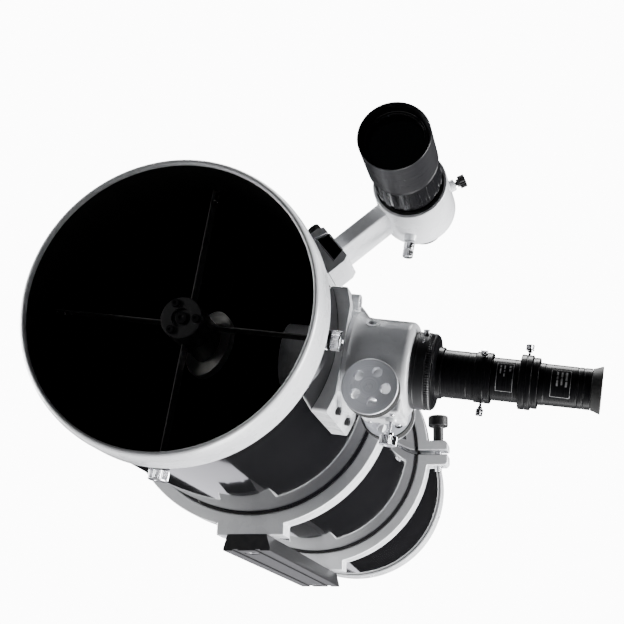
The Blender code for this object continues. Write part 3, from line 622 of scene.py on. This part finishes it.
def ring_fittings(end):
    where = across_ring(end)
    pin = [(0, -13.2), (3, -13.2), (3, 13.2), (0, 13.2)]
    turned("fine_hinge_pin_" + end, pin, STEEL, where @ at(HINGE_X, HINGE_Y), 48, 0.5)
    spot = where @ at(CLAMP_X) @ TO_Y
    bolt = [(0, -23.5), (3.4, -23.5), (4.1, -22.4)] + threads(4.1, -22, -0.8, 1.25, 0.5)
    bolt += [(2.8, -0.4), (2.8, 40), (0, 40)]
    turned("fine_clamp_bolt_" + end, bolt, CHROME, spot, 48, 0.3)
    knob = [(0, 40.5), (3.1, 40.5), (3.1, 11.6), (5.9, 11.6), (6, 28.2), (7.5, 29.2), (10.8, 29.4),
            (11.5, 30.4), (11.5, 40.4), (10.7, 41.6), (7, 42.2), (0, 42.4)]
    ribs = fluted(8, 0.7, 12.5, 27.5, 5)
    rim = fluted(40, 0.22, 31, 40, 11)
    turned("fine_clamp_knob_" + end, knob, PLASTIC, spot, 240, 0.6,
           lambda r, h, a: rim(ribs(r, h, a), h, a))
    washer = [(3.2, 11.05), (7, 11.05), (7, 11.55), (3.2, 11.55)]
    turned("clamp_washer_" + end, washer, CHROME, spot, 64, 0.15, body="ring_%s_upper" % end,
           slot="bright_steel")


# ---- tube

def tube_shell():
    inner = TUBE_R - 1.2
    outline = [(inner, 3.9), (TUBE_R, 3.9), (TUBE_R, 827.7), (inner, 827.7)]
    tube = lathed("fine_tube", outline, TUBE_BLACK, TUBE, 256, 0)
    to_tube = TUBE.inverted()
    carve(tube, rod("focuser_hole", 29, 90, 130, 96), to_tube @ FOCUS)
    for k in range(4):
        spot = radial(FOCUS_AZIMUTH + k * math.pi / 2, VANE_Y)
        carve(tube, rod("stud_hole", 2.4, 110, 120, 24), to_tube @ spot)
    paint_where(tube, FLAT_BLACK_AND_POCKET_SHADE, lambda centre, normal: math.hypot(centre.x, centre.y) < inner + 0.6)
    finish(tube)
    seam = arc(TUBE_R + 0.2, 118, 121.5, 6) + arc(TUBE_R - 0.3, 121.5, 118, 6)
    strip = prism("tube_seam", seam, 36, 799, TUBE_BLACK, TUBE)
    bevel(strip, 0.1, 2, 40)
    finish(strip, body="tube", slot="tube_paint")


def end_rings():
    outline = [(116.3, 35), (118.4, 35), (119, 34.4), (119, 14), (118.7, 9), (118.1, 5.2), (117.4, 2.6),
               (116.5, 1), (115.4, 0.2), (114.4, 0), (113.5, 0.3), (112.9, 1.2), (112.8, 2.2),
               (112.8, 3.6), (116.3, 3.6)]
    turned("fine_trim_ring", outline, WHITE, TUBE, 256, 0.2)
    outline = [(116.3, 800), (RIM_R, 800), (RIM_R, 830.5), (116.1, 833), (80, 833), (80, 828),
               (112.8, 828), (112.8, 818), (114.5, 818), (114.5, 828), (116.3, 828)]
    ring = lathed("fine_rear_ring", outline, WHITE, TUBE, 192, 0.5)
    for i in range(3):
        for turn, radius in ((0, 3.6), (22, 2.4)):
            carve(ring, rod("hole", radius, 820, 840, 32), cell_spot(i, turn))
    finish(ring)
    for i in range(6):
        spot = radial(FOCUS_AZIMUTH + math.radians(50 + 60 * i), FRONT_Y + 812 * MM) @ at(z=RIM_R)
        screw("rear_rim_screw_%d" % (i + 1), spot, "tube", head=2.8, height=1.7)


def cell_spot(i, turn=0):
    """Place of a mirror cell screw in the tube's frame, spaced at thirds round it."""
    angle = math.radians(-90 + 120 * i + turn)
    return at(CELL_SCREW_R * math.cos(angle), CELL_SCREW_R * math.sin(angle))


def primary_mirror():
    reach, focal = 101.6, 900
    sag = reach ** 2 / (4 * focal)
    outline = [(0, 808.5), (reach - 0.8, 808.5), (reach, 807.7), (reach, 778.6), (reach - 0.6, 778)]
    for i in range(1, 25):
        r = reach * (24 - i) / 24
        outline.append((r, 778 + sag * (1 - (r / reach) ** 2)))
    glass = lathed("fine_primary_mirror", outline, GROUND, TUBE, 128, 0)
    paint_where(glass, MIRROR, lambda centre, normal: normal.z < -0.9 and centre.z < 790)
    finish(glass)


def mirror_cell():
    plate = [(25, 809), (106, 809), (106, 819), (25, 819)]
    cell = lathed("fine_mirror_cell", plate, SATIN, TUBE, 128, 0.8)
    for i in range(3):
        carve(cell, rod("hole", 3.6, 800, 830, 32), cell_spot(i))
        window = arc(88, -62 + 120 * i, 2 + 120 * i, 24) + arc(38, 2 + 120 * i, -62 + 120 * i, 24)
        carve(cell, prism("window", eased(window, 6), 813.5, 830))
    finish(cell)
    for i in range(3):
        spot = TUBE @ cell_spot(i)
        knob = [(0, 811.5), (3, 811.5)] + threads(3, 812, 832.6)
        knob += [(8.2, 833.3), (9, 834.2), (9, 843.6), (7.8, 845), (0, 845)]
        turned("fine_cell_knob_%d" % (i + 1), knob, CHROME, spot, 192, 0.4,
               fluted(32, 0.45, 834.6, 843.4, 8.5))
        coil("mirror_spring_%d" % (i + 1), spot, 5.2, 0.7, 819.8, 824.6, 4)
        lock = TUBE @ cell_spot(i, 22)
        outline = [(0, 821.6), (1.6, 821.6)] + threads(2, 822, 832.5, 0.8, 0.3)
        outline += [(4.6, 833.2), (5, 834), (5, 840.6), (4.2, 841.4), (0, 841.4)]
        turned("mirror_lock_screw_%d" % (i + 1), outline, PLASTIC, lock, 144, 0.3,
               fluted(24, 0.3, 834.3, 840.4, 4.6), body="tube", slot="knob_plastic")
        clip(i)


def clip(i):
    """An L-shaped clip that holds the mirror's edge."""
    outline = [(103.6, 808.4), (102.2, 808.4), (102.2, 776.6), (97.2, 776.6), (97.2, 775.4), (103.6, 775.4)]
    where = TUBE @ spun(-30 + 120 * i) @ UPRIGHT
    piece = prism("mirror_clip_%d" % (i + 1), outline, -6, 6, SATIN, where)
    finish(piece, body="primary", slot="black_anodised")


def coil(name, where, radius, wire, low, high, turns):
    """A compression spring as a swept wire."""
    around, sides = turns * 24, 8
    verts = []
    for i in range(around + 1):
        angle = 2 * math.pi * i / 24
        height = low + (high - low) * i / around
        for k in range(sides):
            tilt = 2 * math.pi * k / sides
            reach = radius + wire * math.cos(tilt)
            verts.append((reach * math.cos(angle), reach * math.sin(angle), height + wire * math.sin(tilt)))
    faces = [list(range(sides)), list(range(around * sides, (around + 1) * sides))[::-1]]
    for i in range(around):
        for k in range(sides):
            j = (k + 1) % sides
            faces.append([i * sides + k, i * sides + j, (i + 1) * sides + j, (i + 1) * sides + k])
    finish(solid(name, verts, faces, STEEL, where), body="primary", slot="bright_steel")


# ---- spider and secondary

def spider():
    hub = [(0, 66), (16.2, 66), (17, 65.2), (17, 38.8), (16.2, 38), (7.8, 38), (7.8, 41), (2.9, 41),
           (2.9, 64), (0, 64)]
    body = lathed("fine_spider_hub", hub, HUB, TUBE)
    for i in range(3):
        carve(body, rod("hole", 2.4, 30, 70, 32), collimation_spot(i))
    finish(body)
    for i in range(3):
        outline = [(0, 36.4), (1.4, 36.4), (1.4, 35), (3.2, 35), (3.4, 35.3), (3.4, 37.7), (2, 37.7),
                   (2, 69), (0, 69)]
        turned("fine_secondary_screw_%d" % (i + 1), outline, SATIN, TUBE @ collimation_spot(i), 48,
               0.2, hexagonal(1.5))
    bolt = [(0, 38.6), (1.8, 38.6), (1.8, 37.4), (4.6, 37.4), (5, 37.8), (5, 40.6), (2.4, 40.6),
            (2.4, 43), (0, 43)]
    turned("centre_bolt", bolt, SATIN, TUBE, 48, 0.3, hexagonal(1.9), body="secondary",
           slot="black_anodised")
    for k in range(4):
        where = radial(FOCUS_AZIMUTH + k * math.pi / 2, VANE_Y)
        name = str(k + 1)
        nut = [(0, 122.6), (2.3, 122.6), (2.3, 116.4), (7.3, 116.4), (8, 117.1), (8, 123.9), (7.2, 124.8),
               (3.4, 124.8), (3, 124.3), (0, 124.3)]
        turned("fine_vane_nut_" + name, nut, CHROME, where, 216, 0.3, fluted(36, 0.4, 117.2, 123.8, 7.6))
        tab = [(0, 105.8), (2.3, 105.8), (3, 106.4), (3, 108.6), (2, 109), (2, 113.6), (0, 113.6)]
        turned("vane_end_" + name, tab, CHROME, where, 48, 0.2, body="tube", slot="bright_steel")
        # The vanes' grey is a painted highlight over black paint.
        paint_node("vane_" + name, VANE_PAINTED_HIGHLIGHT)


def collimation_spot(i):
    angle = -FOCUS_AZIMUTH + math.radians(120 * i)
    return at(COLLIMATION_R * math.cos(angle), COLLIMATION_R * math.sin(angle))


def paint_node(node, look):
    """Give a carried-over CAD node its material."""
    mesh = frame["nodes"][node].data
    mesh.materials.clear()
    mesh.materials.append(look)


def leaning(name, bottom, top, radius, steps, look):
    """A cylinder along the tube whose chosen ends lean at 45 degrees to the focuser."""
    verts = []
    for station, leans in (bottom, top):
        for i in range(steps):
            angle = 2 * math.pi * i / steps
            across, turn = radius * math.cos(angle), angle - FOCUS_AZIMUTH
            drop = across if leans else 0
            verts.append((radius * math.cos(turn), radius * math.sin(turn), station - drop))
    ring = list(range(steps))
    faces = [ring[::-1], [steps + i for i in ring]]
    faces += [[i, (i + 1) % steps, steps + (i + 1) % steps, steps + i] for i in ring]
    return solid(name, verts, faces, look, TUBE)


def secondary():
    face = (FOCUS_Y - FRONT_Y) / MM
    behind = face - 9 * math.sqrt(2)
    # The glass's back and edge take the paler ground glass, partly painted light.
    glass = leaning("fine_secondary_mirror", (behind, True), (face, True), 27.5, 96, SECONDARY_BACK_WITH_PAINTED_LIGHT)
    bevel(glass, 0.4, 2, 40)
    lean = Vector((math.cos(-FOCUS_AZIMUTH), math.sin(-FOCUS_AZIMUTH), 1)).normalized()
    paint_where(glass, MIRROR, lambda centre, normal: normal.dot(lean) > 0.98)
    finish(glass)
    holder = leaning("fine_secondary_holder", (69.5, False), (behind - 0.5, True), 16, 96, HUB)
    bevel(holder, 0.5, 2, 40)
    carve(holder, rod("stem", 2.5, 43.2, 74, 48), operation="UNION")
    finish(holder)


# ---- focuser

def focuser_base():
    side, crown = 52, 121.5
    profile = [(95, -side), (95, side), (crown - 5, side), (crown - 1, side - 12), (crown, side - 16),
               (crown, 16 - side), (crown - 1, 12 - side), (crown - 5, -side)]
    base = prism("fine_focuser_base", [(-z, y) for z, y in profile], -43, 45, WHITE, FOCUS)
    base.data.transform(spun(90, "Y"))
    plan = []
    for x, y, start in ((41.8, 48.8, 0), (-39.8, 48.8, 90), (-39.8, -48.8, 180), (41.8, -48.8, 270)):
        plan += arc(3, start, start + 90, 8, x, y)
    carve(base, prism("plan", plan, 90, 130), operation="INTERSECT")
    carve(base, rod("saddle", 116.25, -60, 60, 256), TO_X)
    carve(base, rod("bore", 29.2, 80, 140, 96))
    for way in (-1, 1):
        for x in (-30.5, 32.5):
            scoop = drum("scoop", [(0, 119.2), (9.5, 119.2), (11.5, 130), (0, 130)], 48)
            carve(base, scoop, at(x, way * 41))
    finish(base, 0.8, 30)
    for k, (x, y) in enumerate(((20, -44.5), (-18, -44.5), (20, 44.5))):
        spot = FOCUS @ at(x, y, 118.6)
        screw("base_bolt_%d" % (k + 1), spot, "tube", PLASTIC, 3.4, 3.8, 1.6, "knob_plastic")
    boss = [(4, 116), (6.6, 116), (6.6, 123.2), (5.8, 124.2), (4.6, 124.2), (4, 123.6)]
    turned("bolt_boss", boss, WHITE, FOCUS @ at(-18, 46.5), 64, 0.3, body="tube", slot="white_casting")
    screw("boss_bolt", FOCUS @ at(-18, 46.5, 119.6), "tube", CHROME, 3.6, 3.4, 1.6)


def focuser_housing():
    low, high = 121.8, HOUSING_END
    outline = [(27.7, low), (42.3, low), (42.5, low + 3.6), (40.6, low + 5.6), (39, low + 9),
               (38.3, low + 14), (38.3, high - 6)]
    outline += arc(5.6, 0, 78, 8, 32.7, high - 5.6) + [(31.4, high), (27.7, high)]
    housing = lathed("fine_focuser_housing", outline, WHITE, FOCUS, 160)
    top = high - 3.2
    profile = eased([(-24, 133), (24, 133), (24, top), (-24, top)], 4, True, 5)
    cheeks = prism("cheeks", profile, 10, BLOCK_DEPTH)
    bevel(cheeks, 2.4, 4, 50)
    carve(housing, cheeks, UPRIGHT, "UNION")
    carve(housing, rod("bore", 27.7, 110, 180, 160))
    carve(housing, rod("shaft_bore", 3.1, -50, 50), along_shaft(1))
    tension = at(0, -BLOCK_DEPTH, TENSION_Z) @ TO_MINUS_Y
    boss = drum("boss", [(0, -4), (5.2, -4), (4.6, 2.2), (4.2, 2.6), (0, 2.6)], 48)
    carve(housing, boss, tension, "UNION")
    carve(housing, rod("tension_bore", 2, -8, 20), tension)
    for angle in SET_SCREW_ANGLES:
        spot = from_barrel(angle, SET_SCREW_Z)
        boss = drum("boss", [(0, 30), (5.6, 30), (5.6, 38.5), (5.1, 39), (0, 39)], 48)
        carve(housing, boss, spot, "UNION")
        carve(housing, rod("set_hole", 3.3, 33, 45), spot)
    carve(housing, rod("bore", 27.7, 110, 180, 160))
    finish(housing, sharp=38)


def housing_fittings():
    for k, angle in enumerate(SET_SCREW_ANGLES):
        spot = FOCUS @ from_barrel(angle, SET_SCREW_Z, 33.2)
        screw("set_screw_%d" % (k + 1), spot, "tube", PLASTIC, 3.1, 2.2, 1.5, "knob_plastic")
    for k, (x, z) in enumerate(((-18, 139), (18, 139), (-18, 163), (18, 163))):
        spot = FOCUS @ at(x, -BLOCK_DEPTH, z) @ TO_MINUS_Y
        screw("block_screw_%d" % (k + 1), spot, "tube", CHROME, 2.3, 1.3, 1.1)
    for k, side in enumerate((-1, 1)):
        bush = [(3, 23.6), (7.2, 23.6), (7.2, 31.5), (6.2, 33.5), (6.2, 34.4), (3, 34.4)]
        turned("shaft_bush_%d" % (k + 1), bush, STEEL, FOCUS @ along_shaft(side), 64, 0.2, body="tube",
               slot="bright_steel")


def focuser_drive():
    shaft = [(0, -50), (2.7, -50), (2.7, 50), (0, 50)]
    turned("fine_pinion_shaft", shaft, DISC, FOCUS @ along_shaft(1), 48, 0.3)
    for end, way in (("front", -1), ("rear", 1)):
        where = FOCUS @ along_shaft(way)
        outline = [(2.72, 35), (7.5, 35), (7.5, 43), (20.9, 43), (20.9, 48.3), (22.2, 48.3), (22.2, 49.3),
                   (21.4, 50), (2.72, 50)]
        knob = lathed("fine_focus_knob_" + end, outline, DISC, where, 128)
        for i in range(5):
            turn = math.radians(72 * i + 70)
            tool = rod("hole", 4.2, 40, 54, 48)
            carve(knob, tool, at(12.4 * math.cos(turn), 12.4 * math.sin(turn)))
        finish(knob, 0.3, 40)
        tyre = [(20.9, 37), (21.9, 37), (22.3, 37.4), (22.3, 48.2), (20.9, 48.2)]
        turned("knob_tyre_" + end, tyre, RUBBER, where, 540, 0.2,
               fluted(90, 0.4, 37.2, 48.25, 21.5), body="focus_drive", slot="knob_plastic")
    tension = FOCUS @ at(0, -BLOCK_DEPTH, TENSION_Z) @ TO_MINUS_Y
    thumbscrew("tension_screw", tension, -7.5, 11.5, 21.5, 1.6, 7, CHROME, 32, 0.45)


def drawtube():
    outline = [(25.5, 66), (27, 66), (27, 177), (25.5, 177)]
    tube = lathed("fine_drawtube", outline, ALUMINIUM, FOCUS, 160, 0.3)
    carve(tube, block("flat", (-30, 30), (-36.2, -26.2), (60, 170)))
    paint_where(tube, FLAT_BLACK_AND_POCKET_SHADE, lambda centre, normal: math.hypot(centre.x, centre.y) < 25.9)
    finish(tube)
    low, high = HOUSING_END + 0.6, COLLAR_END
    collar = [(27.3, low), (30.9, low), (31.2, low + 0.3)] + groove(31.2, 176.4, 0.3, 0.4, 0.2)
    collar += [(31.2, 184.6), (30.7, 184.9), (30.7, 185.3), (31, 185.6), (31, 188.4), (30.2, high),
               (25.6, high), (25.6, 177.3), (27.3, 177.3)]
    turned("fine_drawtube_collar", collar, SATIN, FOCUS, 540, 0.2, fluted(90, 0.45, 185.5, 188.6, 30))
    for k, (angle, head, height) in enumerate(((122, 2.5, 3.4), (146, 1.6, 0.5), (32, 2.5, 3.4))):
        spot = FOCUS @ from_barrel(angle, 181, 30.9)
        screw("collar_screw_%d" % (k + 1), spot, "drawtube", CHROME, head, height, head * 0.45)


def print_patch(name, radius, angle, z, width, height, lines, body):
    """A printed frame with plain bars on a barrel: width runs round it, height along it."""
    verts = []
    faces = []
    skin = radius + 0.04

    def strip(u0, v0, u1, v1):
        steps = max(1, int(abs(u1 - u0) / 0.8))
        start = len(verts)
        for i in range(steps + 1):
            turn = math.radians(angle) + (u0 + (u1 - u0) * i / steps) / radius
            for v in (v0, v1):
                verts.append((skin * math.cos(turn), skin * math.sin(turn), z + v))
        for i in range(steps):
            first = start + 2 * i
            faces.append([first, first + 1, first + 3, first + 2])

    half_w, half_h, pen = width / 2, height / 2, 0.28
    for v in (-half_h, half_h - pen):
        strip(-half_w, v, half_w, v + pen)
    for u in (-half_w, half_w - pen):
        strip(u, -half_h, u + pen, half_h)
    for v, thick, words in lines:
        u = -half_w * 0.82
        for word in words:
            strip(u, v, min(u + word, half_w * 0.86), v + thick)
            u += word + 0.9
    patch = solid(name, verts, faces, INK, FOCUS)
    patch.modifiers.new("ink", "SOLIDIFY").thickness = 0.03 * MM
    place(patch, body=body, slot="white_casting")


def adapter():
    nose, flange = HOUSING_END + 1, COLLAR_END + 0.3
    outline = [(15.95, 155), (20, 155), (20, nose), (25.2, nose), (25.2, flange), (29.8, flange),
               (29.2, flange + 0.8), (21, flange + 2.2), (20.6, 196.2), (19.2, 196.8)]
    outline += groove(19.2, 216.4, 0.2, 0.8) + [(19.2, 221.8), (20.2, 222.5)]
    outline += groove(20.2, 229.6, 0.2) + [(20.2, 234.8), (19.8, 235.1), (15.95, 235.1)]
    turned("fine_eyepiece_adapter", outline, BARREL, FOCUS, 128, 0.3)
    down = FOCUS @ at(z=ADAPTER_SCREW_Z) @ TO_MINUS_Y
    thumbscrew("adapter_screw", down, 20.3, 24, 31, 1.2, 2.9, CHROME, 20, 0.25)
    side = FOCUS @ from_barrel(137, ADAPTER_SCREW_Z, 19.9)
    outline = [(0, 0), (1.3, 0), (1.3, 1.2), (2.7, 1.6), (2.9, 5), (2.4, 5.4), (0, 5.4)]
    turned("adapter_side_screw", outline, CHROME, side, 120, 0.25, fluted(20, 0.25, 1.8, 4.8, 2.5),
           body="adapter", slot="bright_steel")


def barlow():
    outline = [(13.5, 205), (15.65, 205), (15.65, 235.4), (17.1, 235.6)]
    outline += groove(17.1, 252.8, 0.1, 0.6, 0.2) + [(17.1, 256.6), (21.2, 257), (21.7, 257.5)]
    outline += groove(21.7, 261.3, 0.5)
    outline += [(21.7, 266), (21.2, 266.5), (20, 266.7), (20, 268), (20.2, 268.3), (20.2, 271.4),
                (19.8, 271.8), (15.95, 271.8), (15.95, 240), (13.5, 240)]
    turned("fine_barlow_barrel", outline, BARREL, FOCUS, 128, 0.25)
    lens = [(0, 206.2), (13.3, 207.4), (13.3, 211), (0, 212.6)]
    turned("barlow_lens", lens, GLASS, FOCUS, 64, 0.1, body="barlow", slot="coated_glass")
    up = FOCUS @ at(z=262) @ TO_Y
    thumbscrew("barlow_screw", up, 21.8, 25, 30.5, 1.2, 3.4, CHROME, 20, 0.25)
    lines = [(3, 1.6, (2, 2.2)), (-1, 1, (3.4, 1.8, 2.6)), (-4, 1, (2.2, 4.4))]
    print_patch("barlow_label", 17.1, 186, 246, 24, 13, lines, "barlow")


def eyepiece():
    outline = [(0, 256), (11.6, 256), (11.6, 255), (12.5, 254.6), (12.5, 243), (15.65, 243),
               (15.65, 272.1), (16.7, 272.1), (16.7, 276), (16.4, 276.5)]
    outline += groove(16.3, 301, width=0.8) + groove(16.3, 305.4, width=0.8)
    outline += [(16.3, 312), (10, 312), (9.2, 308.6), (0, 308.6)]
    turned("fine_eyepiece_body", outline, BARREL, FOCUS, 128, 0.25)
    lens = [(0, 308.7), (8.9, 308.7), (8.9, 309.2), (5, 310.1), (0, 310.4)]
    turned("eye_lens", lens, GLASS, FOCUS, 64, 0.05, body="eyepiece", slot="coated_glass")
    cup = [(11, 312.3), (16.4, 312.3), (17.1, 315), (18.8, 319.4), (18.5, 320.1), (17.9, 319.9),
           (15.6, 315.4), (14.4, 314), (11, 314)]
    turned("fine_eyecup", cup, RUBBER, FOCUS, 128, 0.3)
    lines = [(3.4, 1.5, (7, 4)), (0, 1.3, (4.4, 5.4)), (-3.4, 1.3, (3, 2.4, 4.6))]
    print_patch("eyepiece_label", 16.36, 187, 289, 23, 15, lines, "eyepiece")


# ---- finder

def finder_shoe():
    outline = [(-19, -105), (19, -105), (19, -131), (16.5, -136), (10.5, -136), (13.5, -124),
               (-13.5, -124), (-10.5, -136), (-16.5, -136), (-19, -131)]
    shoe = prism("fine_finder_shoe", outline, -21, 21, WHITE, SHOE)
    shoe.data.transform(LENGTHWAYS)
    carve(shoe, rod("saddle", 116.25, -60, 60, 256), TO_X)
    side = at(z=129.5) @ TO_Y
    carve(shoe, rod("screw_hole", 2.4, 8, 30, 32), side)
    finish(shoe, 0.7)
    thumbscrew("shoe_screw", SHOE @ side, 12.7, 21.5, 31, 2, 6.2, PLASTIC, 24, 0.5)


def finder_spot(degrees):
    """Local Z runs out from the finder's axis at an azimuth, in the bracket's frame."""
    angle = math.radians(degrees) - FINDER_AZIMUTH
    return at(z=FINDER_REACH) @ turn_to((0, math.sin(angle), math.cos(angle)))


def finder_bracket():
    offset = (FINDER_SCREW_Y - FRONT_Y) / MM
    ring = [(28.6, 107), (30.6, 107), (31.2, 107.7), (32.5, 164.2), (31.9, 165), (28.6, 165)]
    bracket = lathed("fine_finder_bracket", ring, WHITE, BRACKET, 128)
    bracket.data.transform(at(z=FINDER_REACH) @ TO_X @ at(z=-offset))
    stalk = block("stalk", (-21, 21), (-6.5, 6.5), (-26, 26), 2)
    carve(bracket, stalk, at(135 - offset, 0, 159), "UNION")
    outline = [(-12.9, -124.6), (12.9, -124.6), (9.9, -136.8), (-9.9, -136.8)]
    foot = prism("foot", outline, 108 - offset, 158 - offset)
    bevel(foot, 0.6, 2, 40)
    carve(bracket, foot, LENGTHWAYS, "UNION")
    for degrees in (22, 142, 262):
        boss = drum("boss", [(0, 30), (5.4, 30), (5, 36), (4.6, 36.5), (0, 36.5)], 48)
        carve(bracket, boss, finder_spot(degrees), "UNION")
    for degrees in (22, 142, 262):
        carve(bracket, rod("hole", 2.4, 27.5, 40, 32), finder_spot(degrees))
    pocket = prism("pocket", [(-10.2, -126.4), (10.2, -126.4), (8.2, -135.2), (-8.2, -135.2)],
                   104 - offset, 122 - offset)
    carve(bracket, pocket, LENGTHWAYS)
    floor = 122 - offset
    # The pocket's inside faces get flat black as painted shade, darker than the recess shades by itself.
    paint_where(bracket, FLAT_BLACK_AND_POCKET_SHADE, lambda centre, normal: abs(centre.y) < 10.25
                and 126.3 < centre.z < 135.3 and floor - 14.05 < centre.x < floor + 0.1)
    finish(bracket, sharp=36)
    for name, degrees in (("finder_screw_1", 22), ("finder_screw_2", 142)):
        spot = BRACKET @ finder_spot(degrees)
        thumbscrew(name, spot, 25.3, 38.5, 46, 2, 5.6, PLASTIC, 16, 0.8)
    plunger = [(0, 25.3), (2, 25.3), (2, 38.2), (4.2, 38.4), (4.6, 38.8), (4.6, 43.6), (4, 44),
               (4, 44.8), (4.6, 45.2), (4.6, 50.8), (3.9, 51.6), (0, 51.6)]
    turned("fine_finder_plunger", plunger, CHROME, BRACKET @ finder_spot(262), 144, 0.25,
           fluted(24, 0.3, 45.4, 50.7, 4.3))
    seal = [(25.3, 108), (28.3, 108), (28.3, 112.6), (25.3, 112.6)]
    turned("finder_seal", seal, RUBBER, FINDER, 128, 1.6, body="finder", slot="knob_plastic")


def finder_optics():
    tube = [(23.3, 50), (25, 50), (25, 174.4), (23.9, 176.8), (19, 184.4), (18.6, 185), (16, 185),
            (16, 178), (23.3, 170)]
    turned("fine_finder_tube", tube, FINDER_BLACK, FINDER, 128, 0.4)
    lock = [(25.3, 66), (27.2, 66), (28.1, 66.9), (28.1, 98), (27.2, 98.8), (25.3, 98.8)]

    def ribs(radius, height, angle):
        wave = math.cos(22 * angle)
        return radius if radius < 26.5 or wave > -0.15 else radius - min(0.9, (-0.15 - wave) * 3.2)
    turned("fine_finder_lock_ring", lock, GLOSSY, FINDER, 440, 0.3, ribs)
    cell = [(22.7, 27.2), (25.5, 26.5), (25.8, 25.8), (28.1, 17.5), (28.4, 17.1), (28.7, 17.1), (29, 17.5)]
    cell += groove(29, 62.2) + [(29, 65), (28.5, 65.5), (25.4, 65.5), (25.4, 29.2), (22.7, 28.8)]
    turned("fine_finder_cell", cell, SATIN, FINDER, 160, 0.25)
    retainer = [(22.9, 26.9), (22.9, 25.9), (23.3, 25.5), (24.6, 25.5), (24.9, 25.1), (25.5, 25.3),
                (25.4, 26.3)]
    turned("lens_retainer", retainer, GLOSSY, FINDER, 128, 0.1, body="finder_cell", slot="black_anodised")
    rise = [(i / 12, (i / 12) ** 2) for i in range(13)]
    lens = [(25 * r, 29.8 + 1.4 * square) for r, square in rise]
    lens += [(25 * r, 37 - 2 * square) for r, square in reversed(rise)]
    turned("fine_finder_lens", lens, GLASS, FINDER, 128, 0.05)
    baffle = [(0, 168), (23.1, 168), (23.1, 169), (0, 169)]
    turned("finder_baffle", baffle, FLAT_BLACK_AND_POCKET_SHADE, FINDER, 96, 0.1, body="finder", slot="black_anodised")
    eyepiece = [(0, 180), (15.5, 180), (15.5, 185.3), (16.6, 185.3), (17.2, 186), (17.2, 205), (16, 207),
                (11, 207), (10, 204), (0, 204)]
    turned("fine_finder_eyepiece", eyepiece, SATIN, FINDER, 288, 0.4, fluted(48, 0.3, 188, 203, 17))
    lens = [(0, 204.1), (9.6, 204.1), (9.6, 204.4), (0, 205.4)]
    turned("finder_eye_lens", lens, GLASS, FINDER, 64, 0.05, body="finder", slot="coated_glass")


# ---- stage

def stage():
    look = grainy("pale_floor", (0.8, 0.8, 0.8), (0.77, 0.77, 0.77), 0.8, 8, 0.02)
    corners = [(-2300, -1100, 0), (2300, -1100, 0), (2300, 2500, 0), (-2300, 2500, 0)]
    solid("floor", corners, [[0, 1, 2, 3]], look, at(z=-1150))


def lamp(name, position, target, width, height, power, beam=180, colour=(1, 1, 1)):
    data = bpy.data.lights.new(name, "AREA")
    data.shape = "RECTANGLE"
    data.size, data.size_y = width, height
    data.energy = power
    data.spread = math.radians(beam)
    data.color = colour
    obj = bpy.data.objects.new(name, data)
    bpy.context.scene.collection.objects.link(obj)
    obj.location = position
    aim = Vector(target) - Vector(position)
    obj.rotation_euler = aim.to_track_quat("-Z", "Y").to_euler()
    obj.visible_camera = False


def lights():
    centre = (0.05, 0.1, 0.12)
    lamp("under_light", (0.35, 0.15, -1.1), (0.1, 0.05, 0.1), 1.3, 0.8, 18, 90)
    lamp("side_light", (1.85, 0.2, -0.05), centre, 0.9, 1.2, 30, 80)
    lamp("left_light", (-1.6, -0.2, 0.1), (-0.1, -0.1, 0.12), 0.8, 1.2, 26, 80)
    lamp("overhead", (0.1, 0.7, 2.5), (0.1, 0.7, 0), 1.6, 1, 75, 130)
    lamp("back_panel", (-0.75, 2.6, -0.62), (0, 0.3, 0), 0.9, 0.7, 3, 180, (0.93, 0.92, 1))
    lamp("front_fill", (-1.6, -1.7, 0.5), centre, 0.6, 0.6, 2.6, 120)
    world = bpy.data.worlds.new("studio")
    bpy.context.scene.world = world
    world.use_nodes = True
    nodes, links = world.node_tree.nodes, world.node_tree.links
    nodes.clear()
    seen = nodes.new("ShaderNodeBackground")
    seen.inputs["Color"].default_value = (1, 1, 1, 1)
    seen.inputs["Strength"].default_value = 12
    lit = nodes.new("ShaderNodeBackground")
    lit.inputs["Color"].default_value = (0.9, 0.9, 0.94, 1)
    lit.inputs["Strength"].default_value = 0.015
    path = nodes.new("ShaderNodeLightPath")
    mix = nodes.new("ShaderNodeMixShader")
    out = nodes.new("ShaderNodeOutputWorld")
    links.new(path.outputs["Is Camera Ray"], mix.inputs["Fac"])
    links.new(lit.outputs[0], mix.inputs[1])
    links.new(seen.outputs[0], mix.inputs[2])
    links.new(mix.outputs[0], out.inputs["Surface"])


def camera():
    data = bpy.data.cameras.new("camera")
    data.lens = 70.48
    data.sensor_width = 36
    data.clip_start = 0.01
    obj = bpy.data.objects.new("camera", data)
    bpy.context.scene.collection.objects.link(obj)
    right = Vector((0.97788, 0.2081, 0.02467))
    up = Vector((0.04118, -0.3065, 0.95086))
    back = right.cross(up)
    turn = Matrix((right, up, back)).transposed().to_4x4()
    obj.matrix_world = Matrix.Translation((0.294, -1.2471, -0.1339)) @ turn
    bpy.context.scene.camera = obj


camera()
stage()
lights()
dovetail_bar()
for ring in RINGS:
    ring_lower(ring)
    ring_upper(ring)
    ring_fittings(ring)
tube_shell()
end_rings()
primary_mirror()
mirror_cell()
spider()
secondary()
focuser_base()
focuser_housing()
housing_fittings()
focuser_drive()
drawtube()
adapter()
barlow()
eyepiece()
finder_shoe()
finder_bracket()
finder_optics()
